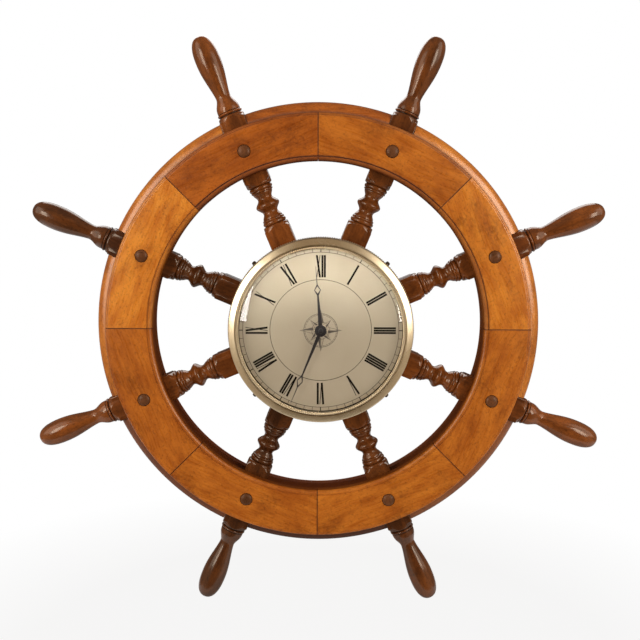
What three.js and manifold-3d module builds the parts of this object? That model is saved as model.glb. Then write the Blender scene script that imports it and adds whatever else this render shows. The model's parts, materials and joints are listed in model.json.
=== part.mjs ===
// Ship wheel wall clock: a wooden wheel with eight turned spokes and a quartz clock in its hub.
// Millimetres, +Z up. The front faces -Y. The origin is the wheel's centre on the wall plane.
// Angles are clock angles: clockwise from the top, as seen from the front.

import * as THREE from 'three';
import { mergeGeometries, mergeVertices } from 'three/addons/utils/BufferGeometryUtils.js';
import Module from 'manifold-3d';

const wasm = await Module();
wasm.setup();

// Clearances
const glueGap = 0.3;          // round a wooden piece that is let into or cut round another
const seamGap = 0.4;          // between the ends of neighbouring rim segments
const fitGap = 0.3;           // between still pieces that slide together
const runGap = 0.3;           // between a turning piece and what it turns in
const pressGap = 0.2;         // between a hand and the arbor it is pressed on

// Rim
const spokeCount = 8;
const facingInner = 161.5;    // inner radius of the front facing
const rimWidth = 45.5;        // width of the front facing, inside to outside
const facingThickness = 12.7;
const facingInnerChamfer = 4;
const facingOuterChamfer = 2.5;
const rimSetback = 3.5;       // felloes and rear facing stand back from the facing's inner edge
const noseSetback = 1;        // the bullnose starts this far inside the facing's outer edge
const rearThickness = 12.7;
const rearChamfer = 2.5;

// Spoke, square stations and turned radii
const spokeSquare = 25.4;
const turningMargin = 0.6;    // the lathe clears the corners of the blank by this much
const balusterInset = 32.7;   // middle of the baluster to the inner wall of the felloes
const shoulderLength = 3.2;   // rounded end of a square block
const shoulderRadius = 10.6;
const filletLength = 2.2;
const beadLength = 3.6;
const beadRadius = 11.4;
const grooveRadius = 9.5;
const coveLength = 4.9;
const coveRadius = 7.3;
const bulbLength = 7.5;
const bulbRadius = 11.5;
const collarGroove = 4.5;     // length of the groove behind the handle's collar
const collarLength = 4;
const collarRadius = 12.2;
const handleBulbLength = 4;
const handleBulbRadius = 11.9;
const neckLength = 11;
const neckRadius = 7.3;
const gripRise = 36;          // neck to the widest place of the grip
const gripRadius = 12.35;
const gripTip = 26;           // widest place to the tip
const gripLeave = 0.25;       // share of the rise that keeps the neck's radius
const gripBelly = 0.5;        // share of the rise that is drawn towards the full radius
const tipHold = 0.72;         // share of the tip that keeps the full radius
const tipBlunt = 0.7;         // how blunt the tip is

// Peg
const pegRadius = 6;
const pegDome = 2.4;
const pegDepth = 8;           // how far the peg goes into the spoke

// Hub
const hubMargin = 3;          // the hub's discs past the dial pan
const coreSetback = 1;        // the hub's core stands back from its discs
const spokeEndGap = 5;        // spoke ends to the pocket for the movement

// Keyhole hanger
const hangerWidth = 18;
const hangerMargin = 2.5;     // ends of the plate to the chamfers of the rear facing
const hangerThickness = 2;
const hangerCorner = 3;
const keyholeRadius = 4.8;
const keyholeSlot = 5.4;      // slot width
const keyholeRise = 11;       // middle of the hole to the round end of the slot
const keyholeDepth = 9;       // room for the nail's head, from the wall plane

// Clock insert, heights are measured from the front of the hub
const insertShift = 3;        // the insert sits this far to the right of the wheel's centre
const panRadius = 84;
const panWall = 1.2;
const panFloorHeight = 7;
const panFloor = 1.2;
const dialThickness = 0.8;
const dialToGlass = 3.6;      // front of the dial to the pan's rim
const gasketWidth = 3;
const gasketThickness = 0.8;
const glassThickness = 2;
const glassRise = 13;
const bezelWall = 5.7;        // bore to the milled edge
const milledHeight = 6.8;
const milledChamfer = 0.8;
const lipWidth = 6;           // bore to the opening over the glass
const lipThickness = 1.6;
const ropeRadius = 1.3;
const grooveDepth = 1.4;
const bandCrown = 0.8;        // how far the crowned band stays inside its square corner

// Movement
const caseWall = 1.6;
const batteryRadius = 7.1;
const batteryLength = 50;
const batteryNubRadius = 2.6;
const batteryNub = 1.4;
const terminalSpace = 1.1;    // at each end of the battery
const batteryFloor = 1;
const caseDepth = 16;
const caseAbove = 28;         // shaft to the top of the case
const lidThickness = 2;
const nutThickness = 2;
const nutAcross = 11;
const nutSides = 6;
const bushWall = 1.4;
const bushProud = 0.4;        // bush end past the nut

// Motion work
const centreDistance = 11;
const minuteTeeth = 8;
const motionTeeth = 24;
const motionPinionTeeth = 7;
const hourTeeth = 28;
const gearThickness = 1.4;
const pinionOverlap = 0.3;    // a pinion is wider than its wheel by this much on each side
const toothSlack = 0.25;      // share of a tooth that is left free as backlash
const addendum = 0.85;        // tooth above and below the pitch circle, in modules
const dedendum = 1.2;
const toothSlope = 0.4;       // how much a tooth narrows above and widens below the pitch circle
const arborRadius = 1;
const pipeWall = 1;
const studRadius = 0.9;
const studHub = 1.3;          // wall of the bosses and hubs on the studs
const gearShelf = 4;          // lid to the boss tops that carry the lower gears
const gearLevels = 3.3;       // lower gear to the hour wheel
const motionBearing = -45;    // degrees, from the shaft to the stud of the motion wheel
const setterBearing = 0;      // degrees, from that stud to the setting knob
const setterShaft = 1.5;
const knobRadius = 5.5;
const knobHeight = 2.7;

// Hands
const handThickness = 0.6;
const hourHeight = 3.6;       // dial to the hour hand
const minuteHeight = 5.2;     // dial to the minute hand
const hourAngle = 355.5;
const minuteAngle = 202.3;
const hourHand = {
  length: 62,
  hub: 5.8,
  root: 1.9,                  // half widths of the blade at the hub and at the diamond
  waist: 0.8,
  diamondFrom: 34,
  diamondTo: 44.5,
  diamond: 3.2,               // half width
};
const minuteHand = {
  length: 75.5,
  hub: 5.4,
  root: 1.7,
  waist: 0.7,
  diamondFrom: 46,
  diamondTo: 59,
  diamond: 2.9,
};
const handRib = 0.75;         // width of the diamond's sides
const needleRoot = 0.45;      // half width where the needle leaves the diamond
const needleTip = 0.2;
const handNutRadius = 2.4;
const handNutHeight = 1.1;    // straight part, below the dome
const handNutDome = 1.1;
const arborProud = 1.4;       // arbor end past the minute hand

// Fineness of the round shapes
const spokeSides = 10;
const turningPitch = 12;      // longest step along a turned curve
const arcSteps = 5;           // steps along one rim segment
const roundSides = 26;
const smallSides = 10;
const pegSides = 8;
const noseSteps = 3;          // steps in each quarter of the bullnose
const cornerSteps = 3;
const bandSteps = 3;
const domeSteps = 1;          // half the steps over a dome or a rope bead
const glassRings = [0, 0.55, 1];
const weld = 1e-4;

// Worked-out sizes of the wheel
const facingOuter = facingInner + rimWidth;
const rimInner = facingInner + rimSetback;
const coreThickness = spokeSquare + 2 * glueGap;
const coreBack = rearThickness;
const coreFront = coreBack + coreThickness;
const rimFront = coreFront + facingThickness;
const noseRoot = facingOuter - noseSetback;
const rimOuter = noseRoot + coreThickness / 2;
const spokeAxis = coreBack + coreThickness / 2;
const pegCircle = (facingInner + facingOuter) / 2;
const spokePitch = 2 * Math.PI / spokeCount;
const hubRadius = panRadius + hubMargin;
const turningRadius = spokeSquare * Math.SQRT1_2 + turningMargin;
const balusterCentre = rimInner - balusterInset;
const balusterHalf = filletLength + 2 * beadLength + coveLength + bulbLength;

// Worked-out sizes of the movement and its pocket
const caseWidth = batteryLength + 2 * (fitGap + terminalSpace + caseWall);
const module1 = 2 * centreDistance / (minuteTeeth + motionTeeth);
const module2 = 2 * centreDistance / (motionPinionTeeth + hourTeeth);
const hourWheelRadius = module2 * (hourTeeth / 2 + 1);
const cavityBottom = -(hourWheelRadius + runGap + fitGap);
const bayTop = cavityBottom - caseWall;
const bayBottom = bayTop - 2 * (batteryRadius + fitGap);
const caseBottom = bayBottom - caseWall;
const caseCorner = Math.hypot(caseWidth / 2, Math.max(caseAbove, -caseBottom));
const pocketRadius = caseCorner + insertShift + fitGap;
const spokeStart = pocketRadius + spokeEndGap;

// Worked-out levels of the insert, as distances in front of the wall
const panFloorBack = rimFront + panFloorHeight;
const dialBack = panFloorBack + panFloor;
const dialFront = dialBack + dialThickness;
const panFront = dialFront + dialToGlass;
const glassBack = panFront + gasketThickness;
const bezelBore = panRadius + fitGap;
const glassRadius = bezelBore - fitGap;
const bezelOuter = bezelBore + bezelWall;
const lipRadius = bezelBore - lipWidth;
const caseFront = panFloorBack;
const caseBack = caseFront - caseDepth;
const wallInside = caseFront - caseWall;
const lidInside = caseBack + lidThickness;
const lowerGear = lidInside + gearShelf + runGap;
const upperGear = lowerGear + gearLevels;
const hourBack = dialFront + hourHeight;
const minuteBack = dialFront + minuteHeight;
const minuteFront = minuteBack + handThickness;
const pipeBore = arborRadius + runGap;
const pipeRadius = pipeBore + pipeWall;
const bushBore = pipeRadius + runGap;
const bushRadius = bushBore + bushWall;
const bushFront = dialFront + nutThickness + bushProud;
const arborFront = minuteFront + arborProud;

// Finishes
function finish(color, roughness, metalness = 0) {
  return new THREE.MeshStandardMaterial({ color, roughness, metalness });
}

const honeyWood = finish(0xb06a2c, 0.35);
const darkWood = finish(0x5e3620, 0.35);
const pegWood = finish(0x553320, 0.45);
const goldMetal = finish(0xc0a468, 0.35, 1);
const dialEnamel = finish(0xdccfae, 0.5);
const panMetal = finish(0x9a958a, 0.45, 1);
const handBlack = finish(0x15110f, 0.4, 0.3);
const casePlastic = finish(0x202227, 0.5);
const gearPlastic = finish(0xe4e0d2, 0.5);
const rubber = finish(0x1c1b1a, 0.8);
const steel = finish(0x8d9093, 0.4, 1);
const cellJacket = finish(0x46484c, 0.4, 0.2);
const clearGlass = new THREE.MeshStandardMaterial({
  color: 0xeef3f2, roughness: 0.03, metalness: 0, transparent: true, opacity: 0.25,
});

// A point of an outline turned about the wheel's axis: radius, and distance in front of the wall.
const ahead = (radius, distance) => new THREE.Vector2(radius, -distance);

const radians = THREE.MathUtils.degToRad;

// Positions only, with shared corners welded and the empty triangles at the poles left out.
function skin(geometry) {
  geometry.deleteAttribute('normal');
  geometry.deleteAttribute('uv');
  const welded = mergeVertices(geometry, weld);
  const corners = welded.index.array;
  const kept = [];
  for (let i = 0; i < corners.length; i += 3) {
    const [a, b, c] = corners.slice(i, i + 3);
    if (a !== b && b !== c && c !== a) kept.push(a, b, c);
  }
  welded.setIndex(kept);
  return welded;
}

// A welded geometry as a solid that can be joined and cut, and back again.
function solid(geometry) {
  const welded = skin(geometry);
  const vertProperties = new Float32Array(welded.attributes.position.array);
  const triVerts = new Uint32Array(welded.index.array);
  return new wasm.Manifold(new wasm.Mesh({ numProp: 3, vertProperties, triVerts }));
}

function shaped(body) {
  const mesh = body.getMesh();
  const geometry = new THREE.BufferGeometry();
  geometry.setAttribute('position', new THREE.BufferAttribute(mesh.vertProperties, 3));
  geometry.setIndex(new THREE.BufferAttribute(mesh.triVerts, 1));
  return geometry;
}

// An outline turned all the way about the Y axis. A ring's outline is closed by its first point.
function turned(outline, sides = roundSides) {
  return skin(new THREE.LatheGeometry(outline, sides));
}

const turnedRing = (outline, sides) => turned([...outline, outline[0]], sides);

// A stretch of ring: a closed outline turned about the wheel's axis between two angles, with flat ends.
function ringSector(outline, from, to) {
  const wall = new THREE.LatheGeometry([...outline, outline[0]], arcSteps, from, to - from);
  const endFace = new THREE.ShapeGeometry(new THREE.Shape(outline));
  const start = endFace.clone().rotateY(from - Math.PI / 2);
  const end = endFace.clone().rotateY(to - Math.PI / 2);
  end.index.array.reverse();
  return skin(mergeGeometries([wall, start, end]));
}

// A plate parallel to the wall: an outline in x and z between two distances in front of the wall.
function plate(shape, back, front, curveSegments = smallSides / 2) {
  const settings = { depth: front - back, bevelEnabled: false, curveSegments };
  const slab = new THREE.ExtrudeGeometry(shape, settings).rotateX(Math.PI / 2);
  return skin(slab.translate(0, -back, 0));
}

// A round bar along the wheel's axis, and a block parallel to the wall.
function bar(radius, back, front, x = 0, z = 0, sides = smallSides) {
  const middle = -(back + front) / 2;
  return new THREE.CylinderGeometry(radius, radius, front - back, sides).translate(x, middle, z);
}

function block(left, right, bottom, top, back, front) {
  const box = new THREE.BoxGeometry(right - left, front - back, top - bottom);
  return box.translate((left + right) / 2, -(back + front) / 2, (bottom + top) / 2);
}

// Names a piece, gives it its finish and hangs it in a group.
function addPiece(group, name, geometry, material) {
  const piece = new THREE.Mesh(geometry, material);
  piece.name = name;
  group.add(piece);
  return piece;
}

// Turning outlines for the spokes: radius across, distance from the wheel's centre along.
// Each of these goes on from the outline's last point.
function bead(outline, radius, length) {
  const { x, y } = outline.currentPoint;
  const bulge = x + (radius - x) * 4 / 3;
  outline.bezierCurveTo(bulge, y, bulge, y + length, x, y + length);
}

function ogee(outline, radius, length) {
  const { x, y } = outline.currentPoint;
  outline.bezierCurveTo(x, y + length / 2, radius, y + length / 2, radius, y + length);
}

function roundedEnd(outline, end) {
  outline.lineTo(turningRadius, end - shoulderLength);
  outline.quadraticCurveTo(turningRadius, end, shoulderRadius, end);
}

function roundedStart(outline, start) {
  outline.lineTo(shoulderRadius, start);
  outline.quadraticCurveTo(turningRadius, start, turningRadius, start + shoulderLength);
}

// Points along a turning outline, with short curves in two steps and long ones in more.
function turningPoints(outline) {
  const points = [outline.curves[0].getPoint(0)];
  for (const curve of outline.curves) {
    const steps = curve.isLineCurve ? 1 : Math.max(2, Math.round(curve.getLength() / turningPitch));
    points.push(...curve.getPoints(steps).slice(1));
  }
  return points;
}

function spokeOutline() {
  const outline = new THREE.Path();
  outline.moveTo(0, spokeStart);
  outline.lineTo(turningRadius, spokeStart);

  roundedEnd(outline, balusterCentre - balusterHalf);
  outline.lineTo(grooveRadius, balusterCentre - balusterHalf + filletLength);
  bead(outline, beadRadius, beadLength);
  bead(outline, beadRadius, beadLength);
  ogee(outline, coveRadius, coveLength);
  ogee(outline, bulbRadius, bulbLength);
  ogee(outline, coveRadius, bulbLength);
  ogee(outline, grooveRadius, coveLength);
  bead(outline, beadRadius, beadLength);
  bead(outline, beadRadius, beadLength);
  roundedStart(outline, balusterCentre + balusterHalf);

  roundedEnd(outline, rimOuter);
  outline.lineTo(grooveRadius, rimOuter + collarGroove);
  bead(outline, collarRadius, collarLength);
  ogee(outline, handleBulbRadius, handleBulbLength);
  ogee(outline, neckRadius, neckLength);
  const neck = outline.currentPoint.y;
  const widest = neck + gripRise;
  const tip = widest + gripTip;
  outline.bezierCurveTo(neckRadius, neck + gripRise * gripLeave,
    gripRadius, widest - gripRise * gripBelly, gripRadius, widest);
  outline.bezierCurveTo(gripRadius, widest + gripTip * tipHold, gripRadius * tipBlunt, tip, 0, tip);
  return outline;
}

// One spoke, standing up from the wheel's centre: turned, and square where the lathe missed the blank.
function spokeGeometry() {
  const outline = spokeOutline();
  const tip = outline.currentPoint.y;
  const turning = turned(turningPoints(outline), spokeSides).rotateX(Math.PI / 2);
  const blank = new THREE.BoxGeometry(spokeSquare, spokeSquare, tip - spokeStart);
  blank.translate(0, 0, (spokeStart + tip) / 2);
  const front = spokeSquare / 2;
  const pegHole = bar(pegRadius + glueGap, front - pegDepth, front + pegDome, 0, pegCircle, pegSides);
  return shaped(solid(turning).intersect(solid(blank)).subtract(solid(pegHole)));
}

// The room that one spoke takes in the wheel's middle layer, between two distances from the centre.
function spokeSlot(angle, from, to) {
  const half = spokeSquare / 2 + glueGap;
  return solid(block(-half, half, from, to, coreBack - half, coreFront + half).rotateY(angle));
}

// Angle that a half seam takes at the middle of the rim.
const halfSeam = seamGap / 2 / pegCircle;

// Front facing segment: chamfered on both edges, with the hole for its peg, centred at the top.
function frontFacingGeometry() {
  const outline = [
    ahead(facingInner + facingInnerChamfer, rimFront),
    ahead(facingOuter - facingOuterChamfer, rimFront),
    ahead(facingOuter, rimFront - facingOuterChamfer),
    ahead(facingOuter, coreFront),
    ahead(facingInner, coreFront),
    ahead(facingInner, rimFront - facingInnerChamfer),
  ];
  const sector = ringSector(outline, -spokePitch / 2 + halfSeam, spokePitch / 2 - halfSeam);
  const hole = bar(pegRadius + glueGap, coreFront - pegDome, rimFront + pegDome, 0, pegCircle, pegSides);
  return shaped(solid(sector).subtract(solid(hole)));
}

// Felloe: the bullnosed middle layer, notched at both ends to fit against the spokes.
function felloeGeometry() {
  const nose = new THREE.Path();
  nose.absarc(noseRoot, -spokeAxis, coreThickness / 2, -Math.PI / 2, Math.PI / 2, false);
  const outline = [ahead(rimInner, coreFront), ...nose.getPoints(noseSteps), ahead(rimInner, coreBack)];
  let felloe = solid(ringSector(outline, -spokePitch / 2, spokePitch / 2));
  for (const side of [-1, 1]) {
    felloe = felloe.subtract(spokeSlot(side * spokePitch / 2, facingInner, rimOuter + spokeSquare));
  }
  return shaped(felloe);
}

// Rear facing segment: chamfered towards the wall.
function rearFacingGeometry() {
  const outline = [
    ahead(rimInner, coreBack),
    ahead(facingOuter, coreBack),
    ahead(facingOuter, rearChamfer),
    ahead(facingOuter - rearChamfer, 0),
    ahead(rimInner + rearChamfer, 0),
    ahead(rimInner, rearChamfer),
  ];
  return ringSector(outline, -spokePitch / 2 + halfSeam, spokePitch / 2 - halfSeam);
}

// Keyhole hanger: a rounded plate with a hole for a nail's head and a slot above it for the shank.
const hangerFrom = rimInner + rearChamfer + hangerMargin;
const hangerTo = facingOuter - rearChamfer - hangerMargin;
const keyholeMiddle = (hangerFrom + hangerTo - keyholeRise) / 2;

function roundedRectangle(left, right, bottom, top, corner) {
  const shape = new THREE.Shape();
  shape.absarc(right - corner, top - corner, corner, 0, Math.PI / 2, false);
  shape.absarc(left + corner, top - corner, corner, Math.PI / 2, Math.PI, false);
  shape.absarc(left + corner, bottom + corner, corner, Math.PI, Math.PI * 1.5, false);
  shape.absarc(right - corner, bottom + corner, corner, Math.PI * 1.5, Math.PI * 2, false);
  return shape;
}

function keyholeOutline() {
  const keyhole = new THREE.Path();
  const half = keyholeSlot / 2;
  const mouth = Math.asin(half / keyholeRadius);
  keyhole.absarc(0, keyholeMiddle, keyholeRadius, Math.PI / 2 + mouth, Math.PI * 2.5 - mouth, false);
  keyhole.absarc(0, keyholeMiddle + keyholeRise, half, 0, Math.PI, false);
  return keyhole;
}

function hangerGeometry() {
  const half = hangerWidth / 2;
  const shape = roundedRectangle(-half, half, hangerFrom, hangerTo, hangerCorner);
  shape.holes.push(keyholeOutline());
  return plate(shape, 0, hangerThickness, cornerSteps);
}

// The top rear facing segment is let in for the hanger and hollowed behind its keyhole.
function hangerFacingGeometry() {
  const half = hangerWidth / 2 + glueGap;
  const corner = hangerCorner + glueGap;
  const seat = roundedRectangle(-half, half, hangerFrom - glueGap, hangerTo + glueGap, corner);
  const reach = keyholeRadius + glueGap;
  const highest = keyholeMiddle + keyholeRise + reach;
  const room = roundedRectangle(-reach, reach, keyholeMiddle - reach, highest, reach);
  const inFront = -hangerThickness;
  return shaped(solid(rearFacingGeometry())
    .subtract(solid(plate(seat, inFront, hangerThickness + glueGap, cornerSteps)))
    .subtract(solid(plate(room, inFront, keyholeDepth, cornerSteps))));
}

// Outline of a dome, from its crown on the axis out to its foot.
function domeOutline(radius, rise, foot) {
  const dome = new THREE.Path();
  dome.absellipse(0, -foot, radius, rise, -Math.PI / 2, 0, false);
  return dome.getPoints(domeSteps);
}

// Peg: a dowel with a domed head.
function pegGeometry() {
  const seat = spokeAxis + spokeSquare / 2 - pegDepth + glueGap;
  const dome = domeOutline(pegRadius, pegDome, rimFront);
  return turned([...dome, ahead(pegRadius, seat), ahead(0, seat)], pegSides);
}

function addWheel(group) {
  const frontFacing = frontFacingGeometry();
  const felloe = felloeGeometry();
  const rearFacing = rearFacingGeometry();
  const hangerFacing = hangerFacingGeometry();
  const spoke = spokeGeometry();
  const peg = pegGeometry();
  for (let i = 1; i <= spokeCount; i += 1) {
    const atSpoke = (i - 0.5) * spokePitch;
    const betweenSpokes = i * spokePitch;
    addPiece(group, `front_facing_${i}`, frontFacing, honeyWood).rotation.y = atSpoke;
    addPiece(group, `felloe_${i}`, felloe, honeyWood).rotation.y = betweenSpokes;
    const rear = i === spokeCount ? hangerFacing : rearFacing;
    addPiece(group, `rear_facing_${i}`, rear, honeyWood).rotation.y = betweenSpokes;
    const spokePiece = addPiece(group, `spoke_${i}`, spoke, darkWood);
    spokePiece.rotation.y = atSpoke;
    spokePiece.position.y = -spokeAxis;
    const pegPiece = addPiece(group, `peg_${i}`, peg, pegWood);
    pegPiece.rotation.y = atSpoke;
    pegPiece.position.set(pegCircle * Math.sin(atSpoke), 0, pegCircle * Math.cos(atSpoke));
  }
  addPiece(group, 'hanger_plate', hangerGeometry(), steel);
}

// A flat ring between two radii.
function washerGeometry(inner, outer, back, front) {
  return turnedRing([ahead(inner, front), ahead(outer, front), ahead(outer, back), ahead(inner, back)]);
}

// Hub: a slotted core that holds the inner ends of the spokes, between two discs.
// The core and the front disc are open in the middle for the movement.
function addHub(group) {
  let core = solid(washerGeometry(pocketRadius, hubRadius - coreSetback, coreBack, coreFront));
  for (let i = 1; i <= spokeCount; i += 1) {
    core = core.subtract(spokeSlot((i - 0.5) * spokePitch, spokeStart - glueGap, hubRadius));
  }
  addPiece(group, 'hub_core', shaped(core), darkWood);
  const front = washerGeometry(pocketRadius, hubRadius, coreFront, rimFront);
  const rear = turned([
    ahead(0, coreBack),
    ahead(hubRadius, coreBack),
    ahead(hubRadius, 0),
    ahead(0, 0),
  ]);
  addPiece(group, 'hub_front_disc', front, darkWood);
  addPiece(group, 'hub_rear_disc', rear, darkWood);
}

// Height of the glass's back above its edge: a shallow dome.
const glassLift = (radius) => glassRise * (1 - (radius / glassRadius) ** 2);

function glassGeometry() {
  const radii = glassRings.map((share) => share * glassRadius);
  const outside = radii.map((radius) => ahead(radius, glassBack + glassThickness + glassLift(radius)));
  const inside = radii.map((radius) => ahead(radius, glassBack + glassLift(radius)));
  return turned([...outside, ...inside.reverse()]);
}

// Bezel: milled edge, a crowned band that climbs to a groove, a rope bead, and a lip over the glass.
function bezelGeometry() {
  const lipBack = glassBack + glassThickness + fitGap;
  const lipUnder = lipBack + glassLift(lipRadius);
  const ropeTop = lipUnder + lipThickness;
  const ropeMiddle = lipRadius + ropeRadius;
  const bandTop = ropeTop - grooveDepth;
  const rope = new THREE.Path();
  rope.absarc(ropeMiddle, -ropeTop, ropeRadius, -Math.PI, 0, false);
  const band = new THREE.QuadraticBezierCurve(
    ahead(ropeMiddle + 2 * ropeRadius, bandTop),
    ahead(bezelOuter - bandCrown, bandTop - bandCrown),
    ahead(bezelOuter - milledChamfer, rimFront + milledHeight + milledChamfer),
  );
  return turnedRing([
    ...rope.getPoints(domeSteps),
    ahead(ropeMiddle + ropeRadius, bandTop),
    ...band.getPoints(bandSteps),
    ahead(bezelOuter, rimFront + milledHeight),
    ahead(bezelOuter, rimFront),
    ahead(bezelBore, rimFront),
    ahead(bezelBore, lipBack),
    ahead(lipRadius, lipUnder),
  ]);
}

// Dial pan: a wall that stands on the hub, with a floor part of the way up.
function panGeometry() {
  const inside = panRadius - panWall;
  const hole = bushRadius + fitGap;
  return turnedRing([
    ahead(hole, dialBack),
    ahead(inside, dialBack),
    ahead(inside, panFront),
    ahead(panRadius, panFront),
    ahead(panRadius, rimFront),
    ahead(inside, rimFront),
    ahead(inside, panFloorBack),
    ahead(hole, panFloorBack),
  ]);
}

function addInsert(group) {
  const dialRadius = panRadius - panWall - fitGap;
  const dial = washerGeometry(bushRadius + fitGap, dialRadius, dialBack, dialFront);
  const gasket = washerGeometry(panRadius - gasketWidth, panRadius, panFront, glassBack);
  addPiece(group, 'case_pan', panGeometry(), panMetal);
  addPiece(group, 'dial', dial, dialEnamel);
  addPiece(group, 'glass_gasket', gasket, rubber);
  addPiece(group, 'glass', glassGeometry(), clearGlass);
  addPiece(group, 'bezel', bezelGeometry(), goldMetal);
}

// Gear outline about the origin, with one tooth pointing along an angle measured from +x towards +z.
function gearShape(teeth, module, phase, bore) {
  const pitchRadius = teeth * module / 2;
  const tipRadius = pitchRadius + addendum * module;
  const rootRadius = pitchRadius - dedendum * module;
  const pitch = 2 * Math.PI / teeth;
  const half = pitch / 4 * (1 - toothSlack);
  const wide = 1 + toothSlope;
  const narrow = 1 - toothSlope;
  const corners = [[rootRadius, -wide], [tipRadius, -narrow], [tipRadius, narrow], [rootRadius, wide]];
  const shape = new THREE.Shape();
  const points = [];
  for (let i = 0; i < teeth; i += 1) {
    for (const [radius, share] of corners) {
      const angle = phase + i * pitch + share * half;
      points.push(new THREE.Vector2(radius * Math.cos(angle), radius * Math.sin(angle)));
    }
  }
  shape.setFromPoints(points);
  if (bore > 0) shape.holes.push(new THREE.Path().absarc(0, 0, bore, 0, 2 * Math.PI, true));
  return shape;
}

// Phase of a gear that meshes with another, which has a known phase and lies back along the bearing.
function meshedPhase(otherPhase, otherTeeth, bearing, teeth) {
  const otherPitch = 2 * Math.PI / otherTeeth;
  const pitch = 2 * Math.PI / teeth;
  return bearing + Math.PI + ((bearing - otherPhase) / otherPitch + 0.5) * pitch;
}

// Places of the motion work, as x and z from the shaft. Bearings become angles from +x towards +z.
const towardsMotion = Math.PI / 2 - radians(motionBearing);
const towardsSetter = Math.PI / 2 - radians(setterBearing);
const oneCentre = new THREE.Vector2(centreDistance, 0);
const noShift = new THREE.Vector2();
const motionPlace = oneCentre.clone().rotateAround(noShift, towardsMotion);
const setterPlace = oneCentre.clone().rotateAround(noShift, towardsSetter).add(motionPlace);
const minutePhase = towardsMotion;
const motionPhase = meshedPhase(minutePhase, minuteTeeth, towardsMotion, motionTeeth);
const setterPhase = meshedPhase(motionPhase, motionTeeth, towardsSetter, minuteTeeth);
const hourPhase = meshedPhase(motionPhase, motionPinionTeeth, towardsMotion + Math.PI, hourTeeth);

function addMotionWork(group) {
  const lowerFront = lowerGear + gearThickness;
  const upperFront = upperGear + gearThickness;
  const pinion = (phase) => plate(gearShape(minuteTeeth, module1, phase, 0), lowerGear - pinionOverlap,
    lowerFront + pinionOverlap);

  const arbor = solid(bar(arborRadius, lidInside + runGap, arborFront)).add(solid(pinion(minutePhase)));
  addPiece(group, 'minute_arbor', shaped(arbor), steel);

  const studBore = studRadius + runGap;
  const wheel = plate(gearShape(motionTeeth, module1, motionPhase, studBore), lowerGear, lowerFront);
  const smallGear = gearShape(motionPinionTeeth, module2, motionPhase, studBore);
  const leaf = plate(smallGear, lowerFront - pinionOverlap, upperFront + pinionOverlap);
  const motion = addPiece(group, 'motion_wheel', shaped(solid(wheel).add(solid(leaf))), gearPlastic);
  motion.position.set(motionPlace.x, 0, motionPlace.y);

  const hourGear = plate(gearShape(hourTeeth, module2, hourPhase, pipeBore), upperGear, upperFront);
  const pipe = turnedRing([
    ahead(pipeBore, hourBack + handThickness),
    ahead(pipeRadius, hourBack + handThickness),
    ahead(pipeRadius, wallInside - runGap),
    ahead(bushRadius, wallInside - runGap),
    ahead(bushRadius, upperGear),
    ahead(pipeBore, upperGear),
  ], smallSides);
  addPiece(group, 'hour_wheel', shaped(solid(hourGear).add(solid(pipe))), gearPlastic);

  const shaft = bar(setterShaft, caseBack - runGap - knobHeight, lowerFront);
  const knob = bar(knobRadius, caseBack - runGap - knobHeight, caseBack - runGap);
  const setter = solid(shaft).add(solid(knob)).add(solid(pinion(setterPhase)));
  addPiece(group, 'setting_knob', shaped(setter), gearPlastic)
    .position.set(setterPlace.x, 0, setterPlace.y);
}

function addMovement(group) {
  const side = caseWidth / 2;
  const inside = side - caseWall;
  const through = caseBack - caseWall;
  const bush = bar(bushRadius, wallInside, bushFront);
  const frontCase = solid(block(-side, side, caseBottom, caseAbove, caseBack, caseFront))
    .subtract(solid(block(-inside, inside, cavityBottom, caseAbove - caseWall, through, wallInside)))
    .subtract(solid(block(-inside, inside, bayBottom, bayTop, through, caseFront - batteryFloor)))
    .add(solid(bush))
    .subtract(solid(bar(bushBore, wallInside - caseWall, bushFront + caseWall)));
  addPiece(group, 'movement_front_case', shaped(frontCase), casePlastic);

  const lidSide = inside - fitGap;
  const shelf = lidInside + gearShelf;
  const setterBore = setterShaft + runGap;
  const lidTop = caseAbove - caseWall - fitGap;
  const lid = solid(block(-lidSide, lidSide, cavityBottom + fitGap, lidTop, caseBack, lidInside))
    .add(solid(bar(arborRadius + runGap + studHub, caseBack, shelf - pinionOverlap)))
    .add(solid(bar(studRadius + studHub, caseBack, shelf, motionPlace.x, motionPlace.y)))
    .add(solid(bar(studRadius, caseBack, wallInside - fitGap, motionPlace.x, motionPlace.y)))
    .add(solid(bar(setterBore + studHub, caseBack, shelf - pinionOverlap, setterPlace.x, setterPlace.y)))
    .subtract(solid(bar(arborRadius + runGap, lidInside, shelf)))
    .subtract(solid(bar(setterBore, through, shelf, setterPlace.x, setterPlace.y)));
  addPiece(group, 'movement_lid', shaped(lid), casePlastic);

  const half = batteryLength / 2;
  const cell = turned([
    new THREE.Vector2(0, -half),
    new THREE.Vector2(batteryRadius, -half),
    new THREE.Vector2(batteryRadius, half - batteryNub),
    new THREE.Vector2(batteryNubRadius, half - batteryNub),
    new THREE.Vector2(batteryNubRadius, half),
    new THREE.Vector2(0, half),
  ], smallSides).rotateZ(-Math.PI / 2);
  const cellDepth = caseFront - batteryFloor - fitGap - batteryRadius;
  addPiece(group, 'battery', cell, cellJacket).position.set(0, -cellDepth, (bayBottom + bayTop) / 2);

  const nutCorner = nutAcross / 2 / Math.cos(Math.PI / nutSides);
  const nut = new THREE.Shape();
  nut.setFromPoints(new THREE.EllipseCurve(0, 0, nutCorner, nutCorner).getPoints(nutSides));
  nut.holes.push(new THREE.Path().absarc(0, 0, bushRadius + fitGap, 0, 2 * Math.PI, true));
  addPiece(group, 'shaft_nut', plate(nut, dialFront, dialFront + nutThickness), goldMetal);
}

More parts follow.
